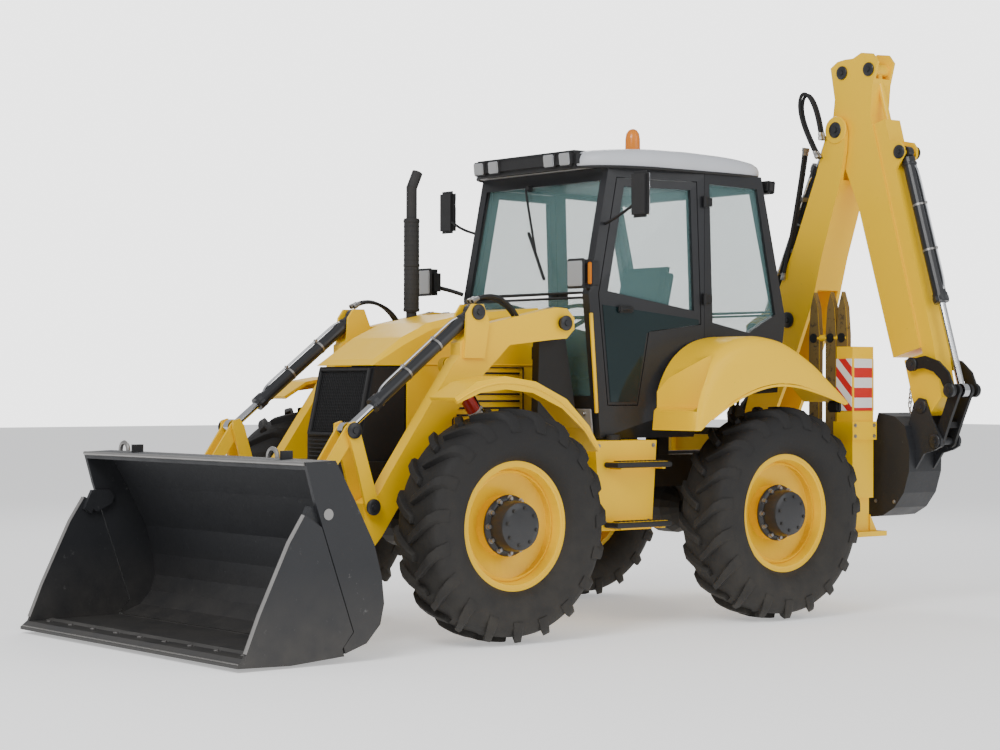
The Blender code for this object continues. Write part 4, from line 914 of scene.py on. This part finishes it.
# %% Hood vents and catches
hood_side_x, guard_room = 0.291, 0.0075
slat_count, slat_pitch = 9, 0.042
vents = []
for side, _ in SIDES:
    vent_x = hood_side_x if side > 0 else hood_side_x - guard_room
    for k in range(slat_count):
        z = 1.20 + k * slat_pitch
        vents.append(tube([at(side * vent_x, 0.18, z), at(side * vent_x, 0.66, z)], 0.0065, 6, smooth=False))
    vents.append(tube([at(side * vent_x, y, z) for y, z in ((0.15, 1.17), (0.69, 1.17), (0.69, 1.57),
        (0.15, 1.57), (0.15, 1.17))], 0.0058, 6, smooth=False))
finished("hood_side_vents", joined(vents), trim_plastic, "hood")
seams = []
for side, _ in SIDES:
    crease = [at(side * hood_side_x, y, 1.585) for y in (-0.17, 0.83)]
    seams.append(tube(crease, 0.004, 6, smooth=False))
finished("hood_crease", joined(seams), paint_yellow, "hood")
catches = [block((side * hood_side_x - 0.008, 0.76, 1.62), (side * hood_side_x + 0.008, 0.81, 1.70), 0.004, 2)
    for side, _ in SIDES]
finished("hood_catches", joined(catches), paint_black, "hood")

# %% Perforated exhaust guard
stack = at(-0.343, 0.31, 0)
rows_of_slots, slots_round, guard_radius = 17, 14, 0.0475
slots = []
for row in range(rows_of_slots):
    z = 1.97 + row * 0.03
    for k in range(slots_round):
        a = (k + (row % 2) / 2) * math.tau / slots_round
        slots.append((Vector((stack.x + guard_radius * math.cos(a), stack.y + guard_radius * math.sin(a), z)),
            (math.cos(a), math.sin(a), 0)))
slot_shape = bpy.data.objects.new("guard_slot", turned([(0, 0), (0, 0.0065), (0.0012, 0.006), (0.0012, 0)],
    (0, 0, 0), (0, 0, 1), 10))
on_points(slots, slot_shape, trim_plastic, "exhaust_guard_holes", "frame")
bands = [turned([(0, 0.048), (0.002, 0.0515), (0.014, 0.0515), (0.016, 0.048)], (stack.x, stack.y, z),
    (0, 0, 1), 32) for z in (1.925, 2.20, 2.475)]
finished("exhaust_guard_bands", joined(bands), engine_iron, "frame")
print("front end dressed")

# %% [markdown]
# ## Pins of the loader
# Every pivot of the loader shows a round pin head with a keeper. Each head rides on the piece that
# holds its pin, so it stays in place while the other pieces turn.

# %% Pin heads on the loader
arm_x = abs(middle("left_lever").x - zero.x)
pins = {"frame": [(0.671, 0.709, 1.836)],
    "loader_bucket": [(arm_x + 0.095, -0.93, 0.45), (arm_x + 0.095, -1.12, 0.82)],
    "loader_arms": [(arm_x + 0.062, 0.05, 1.888)]}
for body, places in pins.items():
    spots = [(at(side * x, y, z), (side, 0, 0)) for x, y, z in places for side, _ in SIDES]
    on_points(spots, pin_head, paint_barrel, f"{body}_pin_heads", body)
for side, word in SIDES:
    on_points([(at(side * (arm_x + 0.075), -0.705, 0.78), (side, 0, 0)),
        (at(side * (arm_x - 0.075), -0.705, 0.78), (-side, 0, 0))],
        pin_head, paint_barrel, f"{word}_lever_pin_heads", f"{word}_lever")
    on_points([(at(side * (arm_x + 0.075), -0.835, 1.21), (side, 0, 0))], pin_head, paint_barrel,
        f"{word}_lever_top_pin", f"{word}_lever")
print("loader arm plane", round(arm_x, 3))

# %% [markdown]
# ## Cylinders
# Barrels have a gland nut with flats and a welded base, and a steel tube runs along each one,
# held by clips. All of it rides on the barrel.

# %% Steel lines and clips along the barrels
def dress_barrel(name, base, eye, plane_x, plane_y, radius, gland, body, up):
    """Adds the gland, a ring near the base and a clipped steel line to a barrel between two points."""
    start = at(plane_x, *base) if plane_y is None else at(base[0], plane_y, base[1])
    end = at(plane_x, *eye) if plane_y is None else at(eye[0], plane_y, eye[1])
    way = (end - start).normalized()
    side = (Vector(up) - way * way.dot(Vector(up))).normalized()
    parts = [turned([(0, radius + 0.001), (0.006, radius + 0.009), (0.034, radius + 0.009),
        (0.040, radius + 0.001)],
        start + way * (gland - 0.045), way, 8)]
    parts.append(turned([(0, radius + 0.001), (0.004, radius + 0.005), (0.016, radius + 0.005),
        (0.020, radius + 0.001)],
        start + way * 0.075, way, 24))
    finished(f"{name}_gland", joined(parts), paint_barrel, body)
    offset = side * (radius + 0.013)
    line = [start + way * 0.10 + side * radius * 0.7, start + way * 0.12 + offset, start + way * 0.2 + offset,
        start + way * (gland - 0.16) + offset, start + way * (gland - 0.10) + offset,
        start + way * (gland - 0.075) + side * radius * 0.7]
    finished(f"{name}_steel_line", tube(line, 0.0075, 8), bare_steel, body)
    clips = [turned([(0, radius + 0.0005), (0, radius + 0.003), (0.014, radius + 0.003),
        (0.014, radius + 0.0005)],
        start + way * (gland * share), way, 24) for share in (0.35, 0.65)]
    clips += [soft_block(tuple(start + way * (gland * share + 0.007) + offset - Vector((0.010, 0.010, 0.010))),
        tuple(start + way * (gland * share + 0.007) + offset + Vector((0.010, 0.010, 0.010))),
        0.003, 1) for share in (0.35, 0.65)]
    finished(f"{name}_clips", joined(clips), worn_steel, body)
    return start, way, offset


for side, word in SIDES:
    dress_barrel(f"{word}_tilt", (0.05, 1.888), (-0.835, 1.21), side * arm_x, None, 0.038, 0.893,
        f"{word}_tilt_barrel", (0, 0, 1))
    start, way, _ = dress_barrel(f"{word}_lift", (0.55, 0.85), (0.0, 1.581), side * 0.425, None, 0.040, 0.855,
        f"{word}_lift_barrel", (0, 1, 0))
    band = turned([(0, 0.0405), (0, 0.0418), (0.16, 0.0418), (0.16, 0.0405)], start + way * 0.42, way, 32)
    finished(f"{word}_lift_label_band", band, roof_shell, f"{word}_lift_barrel")
back_y = middle("boom").y - zero.y
dress_barrel("stick_ram", (-0.36, 1.85), (0.45, 3.59), 0, back_y, 0.055, 1.25, "stick_ram_barrel", (0, -1, 0))
dress_barrel("boom_ram", (-0.60, 1.25), (-0.02, 1.92), 0, back_y, 0.050, 0.815, "boom_ram_barrel", (-1, 0, 1))
dress_barrel("scoop_ram", (0.946, 3.016), (1.416, 1.435), 0, back_y, 0.045, 1.05, "scoop_ram_barrel", (1, 0, 0))
print("backhoe plane", round(back_y, 3))

# %% [markdown]
# ## Loader bucket
# The lip is a bolted blade of worn steel. Stiffening strips run along the back, and the rear wall
# has a rolled top edge.

# %% Lip, bolts and stiffeners
half = (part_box("loader_bucket")[1][0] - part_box("loader_bucket")[0][0]) / 2
blade = plate([at(x, y, z) for x, y, z in ((-half + 0.002, -1.915, 0.036), (half - 0.002, -1.915, 0.036),
    (half - 0.002, -1.72, 0.069), (-half + 0.002, -1.72, 0.069))], 0.014, 0.003)
finished("bucket_blade", blade, worn_steel, "bucket_jaw")
on_points([(at(-half + 0.13 + k * (2 * half - 0.26) / 8, -1.80, 0.063), (0, -0.17, 1)) for k in range(9)],
    plough_bolt, worn_steel, "blade_bolts", "bucket_jaw")
edges = []
for side, _ in SIDES:
    x = side * (half - 0.012)
    edges.append(tube([at(x, y, z) for y, z in ((-1.515, 0.785), (-1.607, 0.645), (-1.785, 0.285),
        (-1.868, 0.09))], 0.0125, 8, smooth=False))
finished("jaw_side_edges", joined(edges), worn_steel, "bucket_jaw")
edges = [tube([at(-half + 0.012, -1.505, 1.052), at(half - 0.012, -1.505, 1.052)], 0.0115, 8, smooth=False)]
finished("bucket_top_edge", joined(edges), worn_steel, "loader_bucket")
ribs = [plate([at(x, y, z) for y, z in ((-1.31, 1.05), (-1.195, 0.86), (-1.135, 0.74), (-1.115, 0.76),
    (-1.18, 0.88), (-1.29, 1.062))], 0.014, 0.002) for x in (-0.95, -0.32, 0.0, 0.32, 0.95)]
finished("bucket_back_ribs", joined(ribs), paint_bucket, "loader_bucket")
on_points([(at(side * half, -1.364, 0.786), (side, 0, 0)) for side, _ in SIDES],
    bpy.data.objects.new("jaw_cap", turned([(0, 0), (0, 0.030), (0.0015, 0.030), (0.0015, 0)], (0, 0, 0),
        (0, 0, 1), 24)), worn_steel, "jaw_pin_caps", "loader_bucket")
eyes = []
for x in (-0.80, 0.80):
    eyes.append(tube([at(x + 0.045 * math.cos(a), -1.452, 1.075 + 0.048 * math.sin(a))
        for a in [k * math.pi / 12 for k in range(13)]], 0.013, 8, smooth=False))
finished("bucket_lifting_eyes", joined(eyes), worn_steel, "loader_bucket")
print("bucket half width", round(half, 3))

# %% [markdown]
# ## Hoses
# Oil goes past each pivot in rubber hoses that bow out into a loop. Each hose is bolted at both
# ends to the machine, so it rides on the piece it is clamped to.

# %% Hose loops on the loader and the backhoe
def hose(name, points, body, radius=0.011):
    finished(name, tube(points, radius, 10), hose_rubber, body)
    ends = []
    for first, second in ((points[0], points[1]), (points[-1], points[-2])):
        ends.append(turned([(0, radius * 1.1), (0, radius * 1.5), (0.022, radius * 1.5), (0.026, radius * 1.25),
            (0.05, radius * 1.25), (0.05, radius * 1.0)],
            first, second - first, 6))
    finished(f"{name}_fittings", joined(ends), worn_steel, body)


for side, word in SIDES:
    for n, shift in enumerate((-0.018, 0.018)):
        x = arm_x + shift
        hose(f"{word}_tilt_hose_{n}", [at(side * x, 0.42, 1.79), at(side * x, 0.38, 1.90),
            at(side * x, 0.24, 1.985 + n * 0.02), at(side * x, 0.12, 1.99), at(side * x, 0.04, 1.95)],
            "loader_arms")
        hose(f"{word}_arm_line_{n}", [at(side * x, 0.66, 1.925), at(side * x, 0.55, 1.90),
            at(side * x, 0.46, 1.85), at(side * x, 0.40, 1.845)], "loader_arms", 0.008)
y = back_y
for n, dx in enumerate((-0.172, -0.146, 0.146, 0.172)):
    hose(f"stick_loop_{n}", [at(0.30, y + dx, 3.02), at(0.16, y + dx * 1.1, 3.25),
        at(0.13, y + dx * 1.15, 3.45 - n * 0.02), at(0.22, y + dx * 1.1, 3.50), at(0.30, y + dx, 3.32),
        at(0.33, y + dx, 3.14)], "boom", 0.012)
for n, dx in enumerate((-0.14, -0.115, 0.115, 0.14)):
    hose(f"boom_hose_{n}", [at(-0.06, y + dx, 2.20), at(0.02, y + dx, 2.48 + n * 0.02), at(0.11, y + dx, 2.86),
        at(0.16, y + dx * 1.1, 3.10)], "boom", 0.012)
for n, dx in enumerate((-0.10, -0.05, 0.05, 0.10)):
    hose(f"king_hose_{n}", [at(-0.50, y + dx * 0.8, 1.02), at(-0.62, y + dx, 1.16),
        at(-0.60, y + dx, 1.42 + n * 0.02), at(-0.48, y + dx, 1.55), at(-0.42, y + dx, 1.50)], "kingpost",
        0.012)
clips = [block((cx - 0.012, y - 0.125, cz - 0.015), (cx + 0.03, y + 0.125, cz + 0.015), 0.004, 2)
    for cx, cz in ((0.0, 2.40), (0.085, 2.75))]
finished("boom_hose_clamps", joined(clips), worn_steel, "boom")
print("hoses fitted")

# %% [markdown]
# ## Backhoe pins, rams and the lifting chain
# Big pins hold the boom, dipper and bucket. A short chain with a hook hangs from the dipper's foot.

# %% Backhoe pins
big_pin = bpy.data.objects.new("big_pin", turned(
    [(0, 0), (0, 0.055), (0.012, 0.055), (0.016, 0.050), (0.016, 0.022), (0.026, 0.020), (0.026, 0)], (0, 0, 0),
    (0, 0, 1), 28))
back_pins = {"kingpost": [(-0.36, 0.85, 0.135)], "boom": [(0.43, 3.2, 0.13), (-0.36, 1.85, 0.13),
    (-0.02, 1.92, 0.13)],
    "dipper": [(0.45, 3.59, 0.09), (0.69, 3.59, 0.09)], "dipper_extension": [(0.946, 3.016, 0.075)],
    "guide_link": [(1.097, 1.605, 0.125), (1.416, 1.435, 0.125)],
    "digging_bucket": [(1.156, 1.33, 0.100), (1.273, 1.103, 0.100)]}
for body, places in back_pins.items():
    head = big_pin if body in ("kingpost", "boom") else pin_head
    on_points([(at(px, y + way * out, pz), (0, way, 0)) for px, pz, out in places for way in (-1, 1)], head,
        paint_barrel, f"{body}_pins", body)
boss = [turned([(0, 0.05), (0, 0.095), (0.010, 0.090), (0.010, 0.05)], at(px, y + way * 0.13, pz), (0, way, 0),
    32)
    for px, pz in ((-0.36, 0.85), (0.43, 3.2)) for way in (-1, 1)]
finished("boom_bosses", joined(boss), paint_yellow, "boom")

# %% Chain and hook
links_at = []
top = at(1.005, y, 1.58)
for k in range(9):
    links_at.append((top + Vector((-0.004 * k, 0, -0.030 * k)), k))
links = []
for spot, k in links_at:
    around_link = []
    for j in range(13):
        a = j * math.tau / 12
        across = 0.012 * math.cos(a)
        upward = 0.012 * math.sin(a) + (0.010 if math.sin(a) > 0 else -0.010)
        around_link.append(spot + (Vector((across, 0, upward)) if k % 2 else Vector((0, across, upward))))
    links.append(tube(around_link, 0.0042, 6, smooth=False))
end = links_at[-1][0]
links.append(tube([end + Vector((dx, 0, dz)) for dx, dz in ((0, -0.02), (0, -0.05), (0.018, -0.068),
    (0.022, -0.09), (0.004, -0.108), (-0.02, -0.10), (-0.028, -0.08))], 0.007, 8))
finished("lifting_chain", joined(links), worn_steel, "dipper_extension")
print("chain of", len(links_at), "links")

# %% [markdown]
# ## Stabilisers, steps and rear frame
# The outer sleeves carry striped boards, and the brown rest fingers have dark bosses where the
# backhoe leans on them in travel.

# %% Boards, feet and fingers
for side, word in SIDES:
    board = block((side * 0.86 - 0.068, 3.142, 1.30), (side * 0.86 + 0.068, 3.148, 1.64), 0.002, 1)
    front = block((side * 0.86 - 0.068, 2.932, 1.30), (side * 0.86 + 0.068, 2.938, 1.64), 0.002, 1)
    outer = block((side * 0.932 - 0.003, 2.955, 1.30), (side * 0.932 + 0.003, 3.125, 1.64), 0.002, 1)
    finished(f"{word}_hazard_board", joined([board, front, outer]), hazard, "frame")
    on_points([(at(side * (0.945), yy, zz), (side, 0, 0)) for yy in (2.95, 3.13) for zz in (1.135, 1.205)],
        small_bolt, worn_steel, f"{word}_sleeve_bolts", "frame")
    ribs = [plate([at(side * 0.915, yy, zz) for yy, zz in ((3.04 + w * 0.08, 0.511), (3.04 + w * 0.145, 0.511),
        (3.04 + w * 0.08, 0.62))], 0.012) for w in (-1, 1)]
    finished(f"{word}_foot_ribs", joined(ribs), paint_yellow, f"{word}_stabiliser")
fingers = []
for x in (0.53, 0.68, 0.78):
    loop = [(x - 0.046, 1.12), (x + 0.046, 1.12), (x + 0.051, 1.80), (x + 0.036, 1.985), (x, 2.088),
        (x - 0.031, 1.985), (x - 0.046, 1.80)]
    fingers.append(plate([at(px, 3.0175, pz) for px, pz in loop], 0.040, 0.003))
finished("rest_fingers", joined(fingers), grease_brown, "frame")
bosses = [turned([(0, 0), (0, 0.032), (0.008, 0.030), (0.008, 0)], at(x, 2.998 if way < 0 else 3.037, 1.78),
    (0, way, 0), 20) for x in (0.53, 0.68, 0.78) for way in (-1, 1)]
finished("finger_bosses", joined(bosses), paint_black, "frame")
treads = []
for side, word in SIDES:
    for z in (0.646, 1.006):
        treads += [block((side * 0.87 - 0.028, 0.94 + k * 0.035, z),
            (side * 0.87 + 0.028, 0.955 + k * 0.035, z + 0.006), 0.002, 1) for k in range(11)]
    tank_face = [(at(side * 0.801, yy, zz), (side, 0, 0))
        for yy, zz in ((0.86, 1.10), (1.30, 1.10), (0.91, 0.64), (1.26, 0.64))]
    on_points(tank_face, small_bolt, worn_steel, f"{word}_tank_bolts", "frame")
    cap = turned([(0, 0), (0, 0.045), (0.03, 0.042), (0.034, 0.036), (0.034, 0)], at(side * 0.66, 1.10, 1.13),
        (0, 0, 1), 24)
    finished(f"{word}_filler_cap", cap, trim_plastic, "frame")
for side, _ in SIDES:
    for z in (0.62, 0.98):
        treads.append(tube([at(side * 0.806, 0.915, z + 0.006), at(side * 0.906, 0.92, z + 0.006),
            at(side * 0.909, 1.13, z + 0.006), at(side * 0.906, 1.34, z + 0.006),
            at(side * 0.806, 1.345, z + 0.006)], 0.017, 8, smooth=False))
finished("step_treads", joined(treads), trim_plastic, "frame")
print("rear and steps dressed")

# %% Fender edges, bucket teeth bolts and axle details
beads = []
front_line = [(-0.35, 1.372), (-0.20, 1.458), (0.0, 1.488), (0.22, 1.458), (0.45, 1.36), (0.61, 1.21),
    (0.70, 1.085)]
for side, _ in SIDES:
    beads.append(tube([at(side * 0.977, yy, zz) for yy, zz in front_line], 0.008, 8))
    rear = [(1.50, 1.262), (1.68, 1.372), (1.92, 1.457), (2.16, 1.477), (2.40, 1.432), (2.67, 1.348)]
    beads.append(tube([at(side * 1.114, yy, zz) for yy, zz in rear], 0.009, 8))
finished("fender_rolled_edges", joined(beads), paint_yellow, "frame")
cheeks = [(at(0.98 - k * 0.16, y + w * 0.161, 0.70), (0, w, 0)) for k in range(2) for w in (-1, 1)]
on_points(cheeks, small_bolt, worn_steel, "digging_bucket_bolts", "digging_bucket")
half_rod = 0.47
for axle_y, axle in AXLES:
    cover = turned([(0, 0), (0, 0.12), (0.02, 0.12), (0.05, 0.09), (0.05, 0)],
        at(-0.135, axle_y, axle_height), (-1, 0, 0), 24)
    finished(f"{axle}_axle_cover", joined([cover]), paint_black, "frame")
    rod_ends = [at(way * half_rod, axle_y + 0.20, axle_height - 0.04) for way in (-1, 1)]
    finished(f"{axle}_track_rod", joined([tube(rod_ends, 0.014, 8, smooth=False)]), worn_steel, "frame")
print("edges and axles dressed")

# %% [markdown]
# ## Studio
# A pale floor, a wide key light, a softer fill and a pale sky give even studio light. The sky looks
# brighter than the light it gives, so the backdrop is pale while the shadows keep their depth. The
# camera stands low on the machine's left front, with a long lens.

# %% Floor, lights and camera
floor_mesh = bpy.data.meshes.new("floor")
reach, below = 60, -0.002
corners = [(x * reach, y * reach, below) for x, y in ((-1, -1), (1, -1), (1, 1), (-1, 1))]
floor_mesh.from_pydata(corners, [], [(0, 1, 2, 3)])
floor = bpy.data.objects.new("studio_floor", floor_mesh)
bpy.context.scene.collection.objects.link(floor)
pale = bpy.data.materials.new("pale_floor")
pale.use_nodes = True
floor_shader = pale.node_tree.nodes["Principled BSDF"].inputs
floor_shader["Base Color"].default_value = (0.90, 0.90, 0.90, 1)
floor_shader["Roughness"].default_value = 0.85
floor_shader["Emission Color"].default_value = (1, 1, 1, 1)
floor_shader["Emission Strength"].default_value = 0.45
floor_mesh.materials.append(pale)


def soft_light(name, spot, aim, size, power):
    """A round lamp that faces the point aim."""
    light = bpy.data.lights.new(name, "AREA")
    light.shape, light.size, light.energy = "DISK", size, power
    holder = bpy.data.objects.new(name, light)
    holder.location = spot
    holder.rotation_euler = (Vector(aim) - Vector(spot)).to_track_quat("-Z", "Y").to_euler()
    bpy.context.scene.collection.objects.link(holder)


soft_light("key", (5, -9, 9), (0, 0, 1), 6, 900)
soft_light("fill", (10, 3, 6), (0, 0, 1.2), 8, 260)
soft_light("rim", (-8, 6, 8), (0, 0, 1.5), 6, 380)
sky = bpy.data.worlds.new("studio")
sky.use_nodes = True
sky_nodes, sky_links = sky.node_tree.nodes, sky.node_tree.links
dim = sky_nodes["Background"]
dim.inputs["Color"].default_value = (0.97, 0.98, 1.0, 1)
dim.inputs["Strength"].default_value = 0.62
bright = sky_nodes.new("ShaderNodeBackground")
bright.inputs["Strength"].default_value = 4.0
seen = sky_nodes.new("ShaderNodeLightPath")
either = sky_nodes.new("ShaderNodeMixShader")
sky_links.new(seen.outputs["Is Camera Ray"], either.inputs["Fac"])
sky_links.new(dim.outputs["Background"], either.inputs[1])
sky_links.new(bright.outputs["Background"], either.inputs[2])
sky_links.new(either.outputs["Shader"], sky_nodes["World Output"].inputs["Surface"])
bpy.context.scene.world = sky

eye = bpy.data.cameras.new("camera")
eye.sensor_width = 36
eye.lens = 81.26
eye.clip_end = 200
camera = bpy.data.objects.new("camera", eye)
camera.location = at(10.9731, -8.0416, 1.4621)
camera.rotation_euler = (math.radians(90 + 0.2652), math.radians(-0.0895), math.radians(51.3207))
bpy.context.scene.collection.objects.link(camera)
bpy.context.scene.camera = camera
print("camera at", tuple(round(v, 2) for v in camera.location))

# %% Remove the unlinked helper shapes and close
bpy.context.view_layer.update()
for helper in [piece for piece in bpy.data.objects if piece.type == "MESH" and not piece.users_collection]:
    bpy.data.objects.remove(helper)
